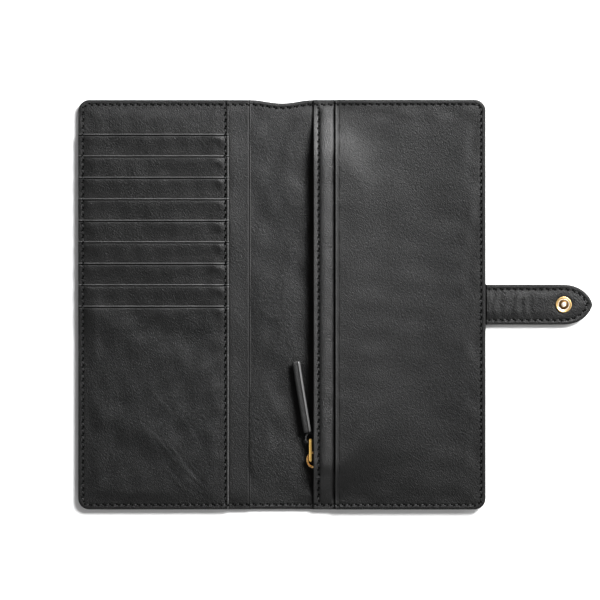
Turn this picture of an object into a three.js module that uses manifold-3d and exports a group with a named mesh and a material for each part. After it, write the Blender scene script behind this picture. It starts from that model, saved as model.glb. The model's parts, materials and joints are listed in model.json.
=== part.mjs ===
// A travel document wallet in black leather, lying open and flat on its back.
// Millimetres, +Z up. The origin is the middle of the spine's outer face, on the table.
// +X points to the closing strap and +Y to the head of the wallet.
// The front cover (x < 0) holds eight card pockets and a passport pocket; the back cover
// (x > 0) holds a zip pocket under a slip pocket. The strap snaps onto the front cover.

import * as THREE from 'three';
import { mergeVertices } from 'three/addons/utils/BufferGeometryUtils.js';
import Module from 'manifold-3d';

const wasm = await Module();
wasm.setup();

// ---- driving dimensions ----------------------------------------------------------------

const HALF_WIDTH = 129;
const HALF_HEIGHT = 129.7;
const CORNER_RADIUS = 7;
const DIP_DEPTH = 2.1;
const DIP_HALF_WIDTH = 20;
const SPINE_HALF_WIDTH = 4.85;
const SPINE_BOARD_HALF_WIDTH = 3.35;
const FOLD_LINE = 5.15;
const SEAM_INSET = 3;

// The layers, each as its lowest and highest level.
const COVER = [0, 1.2];
const BOARD = [1.25, 1.85];
const BOARD_INSET = 5;
const BOARD_ROOM = 0.3;
const LINING = [1.25, 2.5];
const LINING_RECESS_TOP = 1.9;
const LONG_POCKET = [2.55, 3.15];
const CARD_BACKING = [3.2, 3.7];

// Card pockets overlap like roof shingles; each one slopes from its mouth to its tail.
const LONG_POCKET_EDGE = 19.7;
const CARD_PANEL_EDGE = 33.2;
const CARD_SEAM = 35.8;
const CARD_POCKETS = 8;
const FIRST_MOUTH = 108.2;
const POCKET_PITCH = 13.6;
const POCKET_LENGTH = 17.6;
const POCKET_THICKNESS = 0.6;
const POCKET_TAIL = 3.85;
const POCKET_RISE = 0.906;

// The zip pocket's leather stands up over the zip and comes down to the other three edges:
// quickly just behind the zip, and over a longer and longer run at the head and foot.
const ZIP_PANEL_EDGE = 19.9;
const ZIP_PANEL_SEAM = 23.2;
const ZIP_PANEL_BASE = 3.2;
const ZIP_PANEL_THICKNESS = 1;
const SLIP_PANEL_EDGE = 33.7;
const SLIP_PANEL_BASE = 4.6;
const SLIP_PANEL_THICKNESS = 0.8;
const BOW_RISE = 6.6;
const BOW_START = 22;
const BOW_END = 125;
const BOW_FLAT_FOOT = 110;
const BOW_FLAT_HEAD = 92;
const BOW_END_Y = 126;
const BOW_EASE_START = 30;
const BOW_EASE_LENGTH = 40;
const BOW_EASE = 36;
const POCKET_CLOTH_ACROSS = [24.2, 125.5];
const POCKET_CLOTH_HALF_HEIGHT = 125.5;
const POCKET_CLOTH = [2.9, 3.1];

const ZIP_PLANE = 22;
const ZIP_CENTRE = 6.2;
const ZIP_ENDS = [-106, 88];
const CHAIN_THICKNESS = 1.6;
const TOOTH_PITCH = 3.2;
const TOOTH_WIDTH = 1.3;
const TOOTH_BEAD = 1.7;
const TOOTH_ROOT = 0.8;
const TOOTH_POINT = 0.6;
const FIRST_TOOTH = -104;
const UPPER_TEETH = 60;
const STOP_GAP = 0.5;
const STOP_LENGTH = 2;
const STOP_LEVELS = [4.6, 7.8];
const TAPE_OVERRUN = 3.5;
const TAPE_THICKNESS = 0.6;
const TAPE_FLANGE_END = 30;
// Each tape as the levels of its toothed edge and of its flange's two faces.
const UPPER_TAPE = { edge: 7.95, outer: 9.4, inner: 9.1 };
const LOWER_TAPE = { edge: 4.45, outer: 2.55, inner: 2.85 };

// The slider rests near the foot of the zip.
const SLIDER_HALF_LENGTH = 6.25;
const SLIDER_CENTRE = -98.25;
const SLIDER_LEVELS = [3.4, 8.8];
const SLIDER_ROUNDING = 1.6;
const FACE_PLATE = [19.9, 20.9];
const BACK_PLATE = [23.1, 23.9];
const BRIDGE_CENTRE = [19.85, -98.2];
const BRIDGE_OUTER = [4.45, 5.2];
const BRIDGE_THICKNESS = 1.2;
const BRIDGE_LEVELS = [5.4, 7];
const TAB_PIVOT = [18.1, -98.4];
const PULL_PIVOT = [18.1, -85.7];
const TAB_LEVELS = [4.4, 8];
const EYE_LEVELS = [5.2, 7.2];
const NEAR_EYE_LENGTH = 6;
const FAR_EYE_LENGTH = 3.7;
const CROSSBAR_RADIUS = 0.9;
const LOOP_CENTRE = [17.6, -84.4];
const LOOP_OUTER = [2.9, 3.6];
const LOOP_THICKNESS = 0.9;
const PULL_CENTRE = [12.54, -58.47];
const PULL_SIZE = [5, 45.15];
const PULL_LEVELS = [5.5, 9.1];
const PULL_TILT = 0.1618;

const STRAP_HALF_WIDTH = 12.7;
const STRAP_ROOT = [129.3, 140.4];
const STRAP_TIP_START = 140.8;
const STRAP_TAPER_START = 177;
const STRAP_END = 196.7;
const STRAP_OUTER = [1.2, 2.65];
const STRAP_INNER = [2.75, 4.2];
const ANCHOR = [108, 128.4];
const ANCHOR_LEVELS = [1.3, 1.8];
const ANCHOR_ROOM = 0.5;

// The snap: its stud on the strap meets the socket in the front cover when the wallet shuts.
const STUD_X = 178.4;
const SOCKET_X = -89.8;
const RIVET_HOLE = 1.6;
const SOCKET_HOLE = 5.3;
const WASHER_RADIUS = 8;
// Profiles of the round pieces, as [radius, level] corners.
const STUD_PROFILE = [[0, 4.25], [5, 4.25], [5, 4.9], [4.5, 5.15], [2, 4.9], [2, 6.4], [1.5, 7], [0, 7]];
const CAP_PROFILE = [[0, 0.2], [4, 0.35], [6, 0.9], [6, 1.15], [1.3, 1.15], [1.3, 4.15], [0, 4.15]];
const SOCKET_PROFILE = [[2.2, 0.05], [5, 0.05], [5, 1.85], [2.2, 1.85], [2.2, 0.05]];
const WASHER_PROFILE = [[5.5, 1.25], [WASHER_RADIUS, 1.25], [WASHER_RADIUS, 1.8], [5.5, 1.8], [5.5, 1.25]];

const THREAD_WIDTH = 0.6;
const THREAD_HEIGHT = 0.35;
const SKIN_GAP = 0.05;
const ROUND_STEPS = 24;
// Levels below and above the whole wallet, for tools that cut right through it.
const TALL = [-1, 20];

// ---- finishes --------------------------------------------------------------------------

function finish(color, roughness, metalness) {
  return new THREE.MeshStandardMaterial({ color, roughness, metalness });
}

const LEATHER = finish('#232324', 0.5, 0);
const LINING_LEATHER = finish('#262627', 0.6, 0);
const BOARD_STOCK = finish('#4a4a48', 0.9, 0);
const TAPE_CLOTH = finish('#161617', 0.9, 0);
const GOLD = finish('#d8b06a', 0.25, 1);
const THREAD = finish('#1b1b1c', 0.7, 0);

// ---- solids ----------------------------------------------------------------------------

const wallet = new THREE.Group();

function add(name, geometry, material) {
  const mesh = new THREE.Mesh(geometry, material);
  mesh.name = name;
  wallet.add(mesh);
  return mesh;
}

function solidOf(geometry) {
  const bare = geometry.clone();
  bare.deleteAttribute('normal');
  bare.deleteAttribute('uv');
  const welded = mergeVertices(bare, 1e-4);
  return new wasm.Manifold(new wasm.Mesh({
    numProp: 3,
    vertProperties: new Float32Array(welded.attributes.position.array),
    triVerts: new Uint32Array(welded.index.array),
  }));
}

function geometryOf(solid) {
  const { vertProperties, triVerts } = solid.getMesh();
  const geometry = new THREE.BufferGeometry();
  geometry.setAttribute('position', new THREE.BufferAttribute(vertProperties, 3));
  geometry.setIndex(new THREE.BufferAttribute(triVerts, 1));
  return geometry;
}

function cutFrom(geometry, ...tools) {
  let solid = solidOf(geometry);
  for (const tool of tools) {
    solid = solid.subtract(solidOf(tool));
  }
  return geometryOf(solid);
}

function block([x0, x1], [y0, y1], [z0, z1]) {
  const box = new THREE.BoxGeometry(x1 - x0, y1 - y0, z1 - z0);
  return box.translate((x0 + x1) / 2, (y0 + y1) / 2, (z0 + z1) / 2);
}

function plate(shape, [low, high]) {
  const settings = { depth: high - low, bevelEnabled: false, curveSegments: 6 };
  return new THREE.ExtrudeGeometry(shape, settings).translate(0, 0, low);
}

// A bar along X whose section is a list of [y, z] corners.
function barAlongX(corners, [x0, x1]) {
  const shape = new THREE.Shape(corners.map(([y, z]) => new THREE.Vector2(y, z)));
  const bar = new THREE.ExtrudeGeometry(shape, { depth: x1 - x0, bevelEnabled: false });
  const turn = new THREE.Matrix4().makeBasis(
    new THREE.Vector3(0, 1, 0),
    new THREE.Vector3(0, 0, 1),
    new THREE.Vector3(1, 0, 0),
  );
  return bar.applyMatrix4(turn).translate(x0, 0, 0);
}

// A bar along Y whose section is a list of [z, x] corners.
function barAlongY(corners, [y0, y1]) {
  const shape = new THREE.Shape(corners.map(([z, x]) => new THREE.Vector2(z, x)));
  const bar = new THREE.ExtrudeGeometry(shape, { depth: y1 - y0, bevelEnabled: false });
  const turn = new THREE.Matrix4().makeBasis(
    new THREE.Vector3(0, 0, 1),
    new THREE.Vector3(1, 0, 0),
    new THREE.Vector3(0, 1, 0),
  );
  return bar.applyMatrix4(turn).translate(0, y0, 0);
}

// A round piece on a Z axis through [x, y], from a closed list of [radius, z] corners.
function turned(corners, [x, y]) {
  const profile = corners.map(([radius, z]) => new THREE.Vector2(radius, z));
  const lathe = new THREE.LatheGeometry(profile, ROUND_STEPS);
  return lathe.rotateX(Math.PI / 2).translate(x, y, 0);
}

function disc([x, y], radius, [low, high]) {
  const rod = new THREE.CylinderGeometry(radius, radius, high - low, ROUND_STEPS);
  return rod.rotateX(Math.PI / 2).translate(x, y, (low + high) / 2);
}

// A box mesh of columns by rows cells; place() gives each grid point its position, with
// level 0 for the underside and 1 for the top.
function gridSolid(columns, rows, place) {
  const box = new THREE.BoxGeometry(columns, rows, 1, columns, rows, 1);
  const position = box.attributes.position;
  for (let i = 0; i < position.count; i += 1) {
    const column = Math.round(position.getX(i) + columns / 2);
    const row = Math.round(position.getY(i) + rows / 2);
    const level = position.getZ(i) > 0 ? 1 : 0;
    position.setXYZ(i, ...place(column, row, level));
  }
  return box;
}

// ---- outlines --------------------------------------------------------------------------

// The head of the wallet dips a little where it crosses the spine.
function headEdge(x) {
  const t = Math.min(Math.abs(x) / DIP_HALF_WIDTH, 1);
  return HALF_HEIGHT - DIP_DEPTH * (1 + Math.cos(Math.PI * t)) / 2;
}

// One half of the wallet from x = inner to the fore-edge; side is -1 for the front.
function halfOutline(side, inner, inset = 0) {
  const radius = Math.max(CORNER_RADIUS - inset, 2);
  const fore = HALF_WIDTH - inset;
  const foot = -HALF_HEIGHT + inset;
  const head = HALF_HEIGHT - inset;
  const shape = new THREE.Shape();
  shape.moveTo(inner, foot);
  shape.lineTo(fore - radius, foot);
  shape.absarc(fore - radius, foot + radius, radius, -Math.PI / 2, 0, false);
  shape.lineTo(fore, head - radius);
  shape.absarc(fore - radius, head - radius, radius, 0, Math.PI / 2, false);
  for (let x = DIP_HALF_WIDTH; x > inner + 1; x -= 3) {
    shape.lineTo(x, headEdge(x) - inset);
  }
  shape.lineTo(inner, headEdge(inner) - inset);
  const points = shape.getPoints(6).map((point) => new THREE.Vector2(side * point.x, point.y));
  return new THREE.Shape(points);
}

function spineOutline(halfWidth, inset = 0) {
  const shape = new THREE.Shape();
  shape.moveTo(-halfWidth, -HALF_HEIGHT + inset);
  shape.lineTo(halfWidth, -HALF_HEIGHT + inset);
  for (let step = 0; step <= 4; step += 1) {
    const x = halfWidth * (1 - step / 2);
    shape.lineTo(x, headEdge(x) - inset);
  }
  return shape;
}

// ---- covers, boards and linings ----------------------------------------------------------

function makeCovers() {
  const socketHole = disc([SOCKET_X, 0], SOCKET_HOLE, TALL);
  add('outer_cover_front', cutFrom(plate(halfOutline(-1, FOLD_LINE), COVER), socketHole), LEATHER);
  add('outer_cover_spine', plate(spineOutline(SPINE_HALF_WIDTH), COVER), LEATHER);
  add('outer_cover_back', plate(halfOutline(1, FOLD_LINE), COVER), LEATHER);
}

// The room that the strap's anchor takes between the cover and the lining.
function anchorRoom(levels) {
  const across = STRAP_HALF_WIDTH + ANCHOR_ROOM;
  return block([ANCHOR[0] - ANCHOR_ROOM, HALF_WIDTH + 1], [-across, across], levels);
}

function makeBoards() {
  const inner = FOLD_LINE + SEAM_INSET;
  const through = [BOARD[0] - 1, BOARD[1] + 1];
  const washerHole = disc([SOCKET_X, 0], WASHER_RADIUS + BOARD_ROOM, through);
  const slot = anchorRoom(through);
  add('front_board', cutFrom(plate(halfOutline(-1, inner, BOARD_INSET), BOARD), washerHole), BOARD_STOCK);
  add('spine_board', plate(spineOutline(SPINE_BOARD_HALF_WIDTH, BOARD_INSET), BOARD), BOARD_STOCK);
  add('back_board', cutFrom(plate(halfOutline(1, inner, BOARD_INSET), BOARD), slot), BOARD_STOCK);
}

// Each lining turns down around its board, so it is hollowed from below.
function makeLinings() {
  const hollow = [0, LINING_RECESS_TOP];
  const inner = FOLD_LINE + SEAM_INSET - BOARD_ROOM;
  const boardInset = BOARD_INSET - BOARD_ROOM;
  const front = plate(halfOutline(-1, FOLD_LINE), LINING);
  const back = plate(halfOutline(1, FOLD_LINE), LINING);
  const spine = plate(spineOutline(SPINE_HALF_WIDTH), LINING);
  const socketRoom = disc([SOCKET_X, 0], WASHER_RADIUS + BOARD_ROOM, hollow);
  const frontHollow = plate(halfOutline(-1, inner, boardInset), hollow);
  const backHollow = plate(halfOutline(1, inner, boardInset), hollow);
  const spineHollow = plate(spineOutline(SPINE_BOARD_HALF_WIDTH + BOARD_ROOM, boardInset), hollow);
  add('front_lining', cutFrom(front, frontHollow, socketRoom), LINING_LEATHER);
  add('spine_lining', cutFrom(spine, spineHollow), LINING_LEATHER);
  add('back_lining', cutFrom(back, backHollow, anchorRoom(hollow)), LINING_LEATHER);
}

// ---- the front cover's pockets -------------------------------------------------------------

function mouthOf(pocket) {
  return FIRST_MOUTH - pocket * POCKET_PITCH;
}

function makeFrontPockets() {
  const across = [-HALF_WIDTH, -CARD_PANEL_EDGE];
  const mouthLevel = POCKET_TAIL + POCKET_RISE;
  add('long_pocket_panel', plate(halfOutline(-1, LONG_POCKET_EDGE), LONG_POCKET), LEATHER);
  add('card_panel_backing', plate(halfOutline(-1, CARD_PANEL_EDGE), CARD_BACKING), LEATHER);
  for (let pocket = 0; pocket < CARD_POCKETS; pocket += 1) {
    const mouth = mouthOf(pocket);
    const tail = mouth - POCKET_LENGTH;
    const section = [
      [tail, POCKET_TAIL],
      [mouth, mouthLevel],
      [mouth, mouthLevel + POCKET_THICKNESS],
      [tail, POCKET_TAIL + POCKET_THICKNESS],
    ];
    add(`card_pocket_${pocket + 1}`, barAlongX(section, across), LEATHER);
  }
  const mouth = mouthOf(CARD_POCKETS);
  const section = [
    [-HALF_HEIGHT - 1, POCKET_TAIL],
    [mouth - POCKET_LENGTH, POCKET_TAIL],
    [mouth, mouthLevel],
    [mouth, mouthLevel + POCKET_THICKNESS],
    [mouth - POCKET_LENGTH, POCKET_TAIL + POCKET_THICKNESS],
    [-HALF_HEIGHT - 1, POCKET_TAIL + POCKET_THICKNESS],
  ];
  const outline = plate(halfOutline(-1, CARD_PANEL_EDGE), TALL);
  const panel = solidOf(barAlongX(section, across)).intersect(solidOf(outline));
  add('passport_pocket_panel', geometryOf(panel), LEATHER);
}

// ---- the back cover's pockets --------------------------------------------------------------

function share(value, start, length) {
  return Math.min(Math.max((value - start) / length, 0), 1);
}

// 1 at the start of a run, 0 at its end and level at both.
function easeDown(t) {
  return (1 + Math.cos(Math.PI * t)) / 2;
}

// The zip pocket's rise at a point, from 0 to 1.
function bow(x, y) {
  const away = 1 - easeDown(share(x, BOW_EASE_START, BOW_EASE_LENGTH));
  const flat = (y > 0 ? BOW_FLAT_HEAD : BOW_FLAT_FOOT) - BOW_EASE * away;
  const along = share(Math.abs(y), flat, BOW_END_Y - flat);
  const across = share(x, BOW_START, BOW_END - BOW_START);
  return easeDown(along) * easeDown(across) ** 2;
}

const BOW_COLUMNS = [
  ZIP_PANEL_EDGE, BOW_START, 27, SLIP_PANEL_EDGE, 40, 47, 54, 62, 70, 79, 88, 100, BOW_END, HALF_WIDTH + 1,
];
const FOOT_ROWS = [70, 77, 84, 91, 98, 104, BOW_FLAT_FOOT, 114, 118, 122, BOW_END_Y, HALF_HEIGHT + 1];
const HEAD_ROWS = [
  50, 57, 64, 71, 78, 85, BOW_FLAT_HEAD, 98, 104, 110, 116, 121, BOW_END_Y, HALF_HEIGHT + 1,
];
const BOW_ROWS = [...FOOT_ROWS.map((y) => -y).reverse(), 0, ...HEAD_ROWS];

function bowedPanel(inner, base, thickness) {
  const columns = BOW_COLUMNS.filter((x) => x >= inner);
  const sheet = gridSolid(columns.length - 1, BOW_ROWS.length - 1, (column, row, level) => {
    const x = columns[column];
    const y = BOW_ROWS[row];
    return [x, y, base + BOW_RISE * bow(x, y) + level * thickness];
  });
  const outline = plate(halfOutline(1, inner), TALL);
  return geometryOf(solidOf(sheet).intersect(solidOf(outline)));
}

function makeBackPockets() {
  const clothAlong = [-POCKET_CLOTH_HALF_HEIGHT, POCKET_CLOTH_HALF_HEIGHT];
  add('zip_pocket_lining', block(POCKET_CLOTH_ACROSS, clothAlong, POCKET_CLOTH), TAPE_CLOTH);
  const zipPanel = bowedPanel(ZIP_PANEL_EDGE, ZIP_PANEL_BASE, ZIP_PANEL_THICKNESS);
  const slipPanel = bowedPanel(SLIP_PANEL_EDGE, SLIP_PANEL_BASE, SLIP_PANEL_THICKNESS);
  add('zip_pocket_panel', zipPanel, LEATHER);
  add('slip_pocket_panel', slipPanel, LEATHER);
}

// ---- the zip -------------------------------------------------------------------------------

// One row of teeth on its bead; reach is +1 for teeth that point up.
function toothRow(reach, first, count) {
  const root = ZIP_CENTRE - reach * TOOTH_ROOT;
  const bead = ZIP_CENTRE - reach * TOOTH_BEAD;
  const point = ZIP_CENTRE + reach * TOOTH_POINT;
  const [foot, head] = ZIP_ENDS;
  const corners = [[foot, bead], [foot, root]];
  for (let tooth = 0; tooth < count; tooth += 1) {
    const middle = first + tooth * TOOTH_PITCH;
    const near = middle - TOOTH_WIDTH / 2;
    const far = middle + TOOTH_WIDTH / 2;
    corners.push([near, root], [near, point], [far, point], [far, root]);
  }
  corners.push([head, root], [head, bead]);
  return barAlongX(corners, [ZIP_PLANE - CHAIN_THICKNESS / 2, ZIP_PLANE + CHAIN_THICKNESS / 2]);
}

// A tape stands beside its teeth and turns through a right angle into its sewn flange.
function tape({ edge, outer, inner }) {
  const near = ZIP_PLANE - TAPE_THICKNESS / 2;
  const far = ZIP_PLANE + TAPE_THICKNESS / 2;
  const section = [
    [edge, near],
    [outer, near],
    [outer, TAPE_FLANGE_END],
    [inner, TAPE_FLANGE_END],
    [inner, far],
    [edge, far],
  ];
  return barAlongY(section, [ZIP_ENDS[0] - TAPE_OVERRUN, ZIP_ENDS[1] + TAPE_OVERRUN]);
}

// A stop just past one end of the chain; direction is +1 at the head and -1 at the foot.
function zipStop(end, direction) {
  const inner = end + direction * STOP_GAP;
  const outer = inner + direction * STOP_LENGTH;
  const along = [Math.min(inner, outer), Math.max(inner, outer)];
  const across = [ZIP_PLANE - CHAIN_THICKNESS / 2, ZIP_PLANE + CHAIN_THICKNESS / 2];
  return block(across, along, STOP_LEVELS);
}

function makeZip() {
  add('zip_tape_upper', tape(UPPER_TAPE), TAPE_CLOTH);
  add('zip_tape_lower', tape(LOWER_TAPE), TAPE_CLOTH);
  add('zip_teeth_upper', toothRow(-1, FIRST_TOOTH, UPPER_TEETH), GOLD);
  add('zip_teeth_lower', toothRow(1, FIRST_TOOTH + TOOTH_PITCH / 2, UPPER_TEETH - 1), GOLD);
  add('zip_top_stop', zipStop(ZIP_ENDS[1], 1), GOLD);
  add('zip_bottom_stop', zipStop(ZIP_ENDS[0], -1), GOLD);
}

// ---- the slider and its pull ------------------------------------------------------------------

function roundedOutline([u0, u1], [v0, v1], radius) {
  const shape = new THREE.Shape();
  shape.absarc(u1 - radius, v0 + radius, radius, -Math.PI / 2, 0, false);
  shape.absarc(u1 - radius, v1 - radius, radius, 0, Math.PI / 2, false);
  shape.absarc(u0 + radius, v1 - radius, radius, Math.PI / 2, Math.PI, false);
  shape.absarc(u0 + radius, v0 + radius, radius, Math.PI, 1.5 * Math.PI, false);
  return shape;
}

function sliderPlate([x0, x1]) {
  const along = [SLIDER_CENTRE - SLIDER_HALF_LENGTH, SLIDER_CENTRE + SLIDER_HALF_LENGTH];
  const outline = roundedOutline(along, SLIDER_LEVELS, SLIDER_ROUNDING);
  const corners = outline.getPoints(5).map((point) => [point.x, point.y]);
  return barAlongX(corners, [x0, x1]);
}

function bridgeArch() {
  const [x, y] = BRIDGE_CENTRE;
  const [rx, ry] = BRIDGE_OUTER;
  const shape = new THREE.Shape();
  shape.absellipse(x, y, rx, ry, Math.PI / 2, 1.5 * Math.PI, false, 0);
  const inner = new THREE.Path();
  inner.absellipse(x, y, rx - BRIDGE_THICKNESS, ry - BRIDGE_THICKNESS, 1.5 * Math.PI, Math.PI / 2, true, 0);
  const points = [...shape.getPoints(16), ...inner.getPoints(16)];
  return plate(new THREE.Shape(points), BRIDGE_LEVELS);
}

function pullTab() {
  const [x, near] = TAB_PIVOT;
  const far = PULL_PIVOT[1];
  const radius = CROSSBAR_RADIUS;
  const stadium = roundedOutline([x - radius, x + radius], [near - radius, far + radius], radius);
  const across = [x - 2 * radius, x + 2 * radius];
  const nearEye = block(across, [near, near + NEAR_EYE_LENGTH], EYE_LEVELS);
  const farEye = block(across, [far - FAR_EYE_LENGTH, far], EYE_LEVELS);
  const solid = solidOf(plate(stadium, TAB_LEVELS))
    .subtract(solidOf(nearEye))
    .subtract(solidOf(farEye))
    .add(solidOf(disc([x, near], radius, TAB_LEVELS)))
    .add(solidOf(disc([x, far], radius, TAB_LEVELS)));
  return geometryOf(solid);
}

function pullLoop() {
  const [x, y] = LOOP_CENTRE;
  const [rx, ry] = LOOP_OUTER;
  const shape = new THREE.Shape();
  shape.absellipse(x, y, rx, ry, 0, 2 * Math.PI, false, 0);
  const hole = new THREE.Path();
  hole.absellipse(x, y, rx - LOOP_THICKNESS, ry - LOOP_THICKNESS, 0, 2 * Math.PI, true, 0);
  shape.holes.push(hole);
  const settings = { depth: BRIDGE_LEVELS[1] - BRIDGE_LEVELS[0], bevelEnabled: false, curveSegments: 32 };
  return new THREE.ExtrudeGeometry(shape, settings).translate(0, 0, BRIDGE_LEVELS[0]);
}

function makeSlider() {
  add('slider_face_plate', sliderPlate(FACE_PLATE), GOLD);
  add('slider_back_plate', sliderPlate(BACK_PLATE), GOLD);
  add('slider_bridge', bridgeArch(), GOLD);
  add('pull_tab', pullTab(), GOLD);
  add('pull_loop', pullLoop(), LEATHER);
  const [width, length] = PULL_SIZE;
  const outline = roundedOutline([-width / 2, width / 2], [-length / 2, length / 2], 1);
  const pull = add('leather_pull', plate(outline, PULL_LEVELS), LEATHER);
  pull.position.set(...PULL_CENTRE, 0);
  pull.rotation.z = PULL_TILT;
}

// ---- the strap and its snap ---------------------------------------------------------------------

// Half the strap's width at x, for a strap of half-width full whose taper ends at x = end.
function strapHalfWidth(x, full, end) {
  const u = Math.min(Math.max((x - STRAP_TAPER_START) / (end - STRAP_TAPER_START), 0), 1);
  return full * (1 - u ** 2.4) ** 0.85;
}

// The long edge of the strap's tip, from its root to its point, on the +Y side.
function tipEdge(start, full, end) {
  const points = [[start, full]];
  for (const u of [0, 0.15, 0.3, 0.45, 0.6, 0.72, 0.82, 0.9, 0.96]) {
    const x = STRAP_TAPER_START + u * (end - STRAP_TAPER_START);
    points.push([x, strapHalfWidth(x, full, end)]);
  }
  points.push([end, 0]);
  return points;
}

// The whole edge, down one side, round the point and back along the other.
function tipOutline(start, full, end) {
  const upper = tipEdge(start, full, end);
  const lower = upper.slice(0, -1).reverse().map(([x, y]) => [x, -y]);
  return [...upper, ...lower];
}

function makeStrap() {
  const across = [-STRAP_HALF_WIDTH, STRAP_HALF_WIDTH];
  const tip = new THREE.Shape(
    tipOutline(STRAP_TIP_START, STRAP_HALF_WIDTH, STRAP_END).map(([x, y]) => new THREE.Vector2(x, y)),
  );
  const rivetHole = disc([STUD_X, 0], RIVET_HOLE, TALL);
  add('strap_anchor', block(ANCHOR, across, ANCHOR_LEVELS), LEATHER);
  add('strap_base_outer', block(STRAP_ROOT, across, STRAP_OUTER), LEATHER);
  add('strap_base_inner', block(STRAP_ROOT, across, STRAP_INNER), LEATHER);
  add('strap_tip_outer', cutFrom(plate(tip, STRAP_OUTER), rivetHole), LEATHER);
  add('strap_tip_inner', cutFrom(plate(tip, STRAP_INNER), rivetHole), LEATHER);
}

function makeSnap() {
  add('snap_stud', turned(STUD_PROFILE, [STUD_X, 0]), GOLD);
  add('snap_cap', turned(CAP_PROFILE, [STUD_X, 0]), GOLD);
  add('snap_socket', turned(SOCKET_PROFILE, [SOCKET_X, 0]), GOLD);
  add('snap_socket_washer', turned(WASHER_PROFILE, [SOCKET_X, 0]), GOLD);
}

// ---- threads ---------------------------------------------------------------------------------------

// The upper surface of the front cover's layers.
function frontTop(x, y) {
  const reach = Math.abs(x);
  if (reach < LONG_POCKET_EDGE) return LINING[1];
  if (reach < CARD_PANEL_EDGE) return LONG_POCKET[1];
  if (y > FIRST_MOUTH) return CARD_BACKING[1];
  const pocket = Math.min(Math.floor((FIRST_MOUTH - y) / POCKET_PITCH), CARD_POCKETS);
  const drop = Math.min((mouthOf(pocket) - y) / POCKET_LENGTH, 1);
  return POCKET_TAIL + POCKET_THICKNESS + POCKET_RISE * (1 - drop);
}

// The upper surface of the back cover's layers.
function backTop(x, y) {
  if (x < ZIP_PANEL_EDGE) return LINING[1];
  const base = x < SLIP_PANEL_EDGE
    ? ZIP_PANEL_BASE + ZIP_PANEL_THICKNESS
    : SLIP_PANEL_BASE + SLIP_PANEL_THICKNESS;
  return base + BOW_RISE * bow(x, y);
}

// Stations just before and just after each step in the layers.
function aroundSteps(steps) {
  return steps.flatMap((step) => [step - 0.6, step - 0.3, step + 0.3, step + 0.6]);
}

// Lays a flat thread along [x, y] points, on the highest level found just around each one.
function layThread(points, topOf) {
  const reach = 0.5;
  return gridSolid(points.length - 1, 1, (index, side, level) => {
    const [x, y] = points[index];
    const [ax, ay] = points[Math.max(index - 1, 0)];
    const [bx, by] = points[Math.min(index + 1, points.length - 1)];
    const length = Math.hypot(bx - ax, by - ay);
    const [tx, ty] = [(bx - ax) / length, (by - ay) / length];
    const levels = [-reach, 0, reach].map((shift) => topOf(x + shift * tx, y + shift * ty));
    const offset = (side - 0.5) * THREAD_WIDTH;
    const z = Math.max(...levels) + SKIN_GAP + level * THREAD_HEIGHT;
    return [x - ty * offset, y + tx * offset, z];
  });
}

// The seam round one half, from the spine at the foot to the spine at the head.
function edgeSeam(side, steps, pocketSteps) {
  const fore = HALF_WIDTH - SEAM_INSET;
  const edge = HALF_HEIGHT - SEAM_INSET;
  const radius = CORNER_RADIUS - SEAM_INSET;
  const start = FOLD_LINE + 0.5;
  const footStations = [start, ...aroundSteps(steps)].sort((a, b) => a - b);
  const headStations = [...footStations, 8, 11, 14, 17].sort((a, b) => b - a);
  const points = footStations.map((x) => [x, -edge]);
  for (let step = 0; step <= 5; step += 1) {
    const angle = (step / 5 - 1) * Math.PI / 2;
    points.push([fore - radius + radius * Math.cos(angle), radius - edge + radius * Math.sin(angle)]);
  }
  for (const y of aroundSteps(pocketSteps).sort((a, b) => a - b)) {
    points.push([fore, y]);
  }
  for (let step = 0; step <= 5; step += 1) {
    const angle = step / 5 * Math.PI / 2;
    points.push([fore - radius + radius * Math.cos(angle), edge - radius + radius * Math.sin(angle)]);
  }
  for (const x of headStations) {
    points.push([x, headEdge(x) - SEAM_INSET]);
  }
  return points.map(([x, y]) => [side * x, y]);
}

function makeThreads() {
  const mouths = [];
  for (let pocket = 0; pocket <= CARD_POCKETS; pocket += 1) {
    mouths.push(mouthOf(pocket));
  }
  const seamEnd = HALF_HEIGHT - SEAM_INSET - 1;
  const frontSeam = edgeSeam(-1, [LONG_POCKET_EDGE, CARD_PANEL_EDGE], mouths);
  const backSeam = edgeSeam(1, [ZIP_PANEL_EDGE, SLIP_PANEL_EDGE], []);
  const cardStations = [-seamEnd, ...aroundSteps(mouths), mouths[CARD_POCKETS] - POCKET_LENGTH, seamEnd];
  const cardSeam = cardStations.sort((a, b) => a - b).map((y) => [-CARD_SEAM, y]);
  const zipSeam = BOW_ROWS.slice(1, -1).map((y) => [ZIP_PANEL_SEAM, y * seamEnd / BOW_END_Y]);
  add('front_edge_thread', layThread(frontSeam, frontTop), THREAD);
  add('back_edge_thread', layThread(backSeam, backTop), THREAD);
  add('card_panel_thread', layThread(cardSeam, frontTop), THREAD);
  add('zip_panel_thread', layThread(zipSeam, backTop), THREAD);

  const spineStations = [-4.6, -2.3, 0, 2.3, 4.6];
  const spineTop = () => LINING[1];
  const headSeam = spineStations.map((x) => [x, headEdge(x) - SEAM_INSET]);
  const footSeam = spineStations.map((x) => [x, -HALF_HEIGHT + SEAM_INSET]);
  add('spine_head_thread', layThread(headSeam, spineTop), THREAD);
  add('spine_foot_thread', layThread(footSeam, spineTop), THREAD);

  const strapTop = () => STRAP_INNER[1];
  const seamWidth = STRAP_HALF_WIDTH - SEAM_INSET;
  const tipSeam = tipOutline(STRAP_TIP_START + 0.4, seamWidth, STRAP_END - SEAM_INSET - 1);
  add('strap_tip_thread', layThread(tipSeam, strapTop), THREAD);
  for (const [name, y] of [['strap_base_thread_head', seamWidth], ['strap_base_thread_foot', -seamWidth]]) {
    const run = [[STRAP_ROOT[0] + 0.4, y], [STRAP_ROOT[1] - 0.4, y]];
    add(name, layThread(run, strapTop), THREAD);
  }
}

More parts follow.
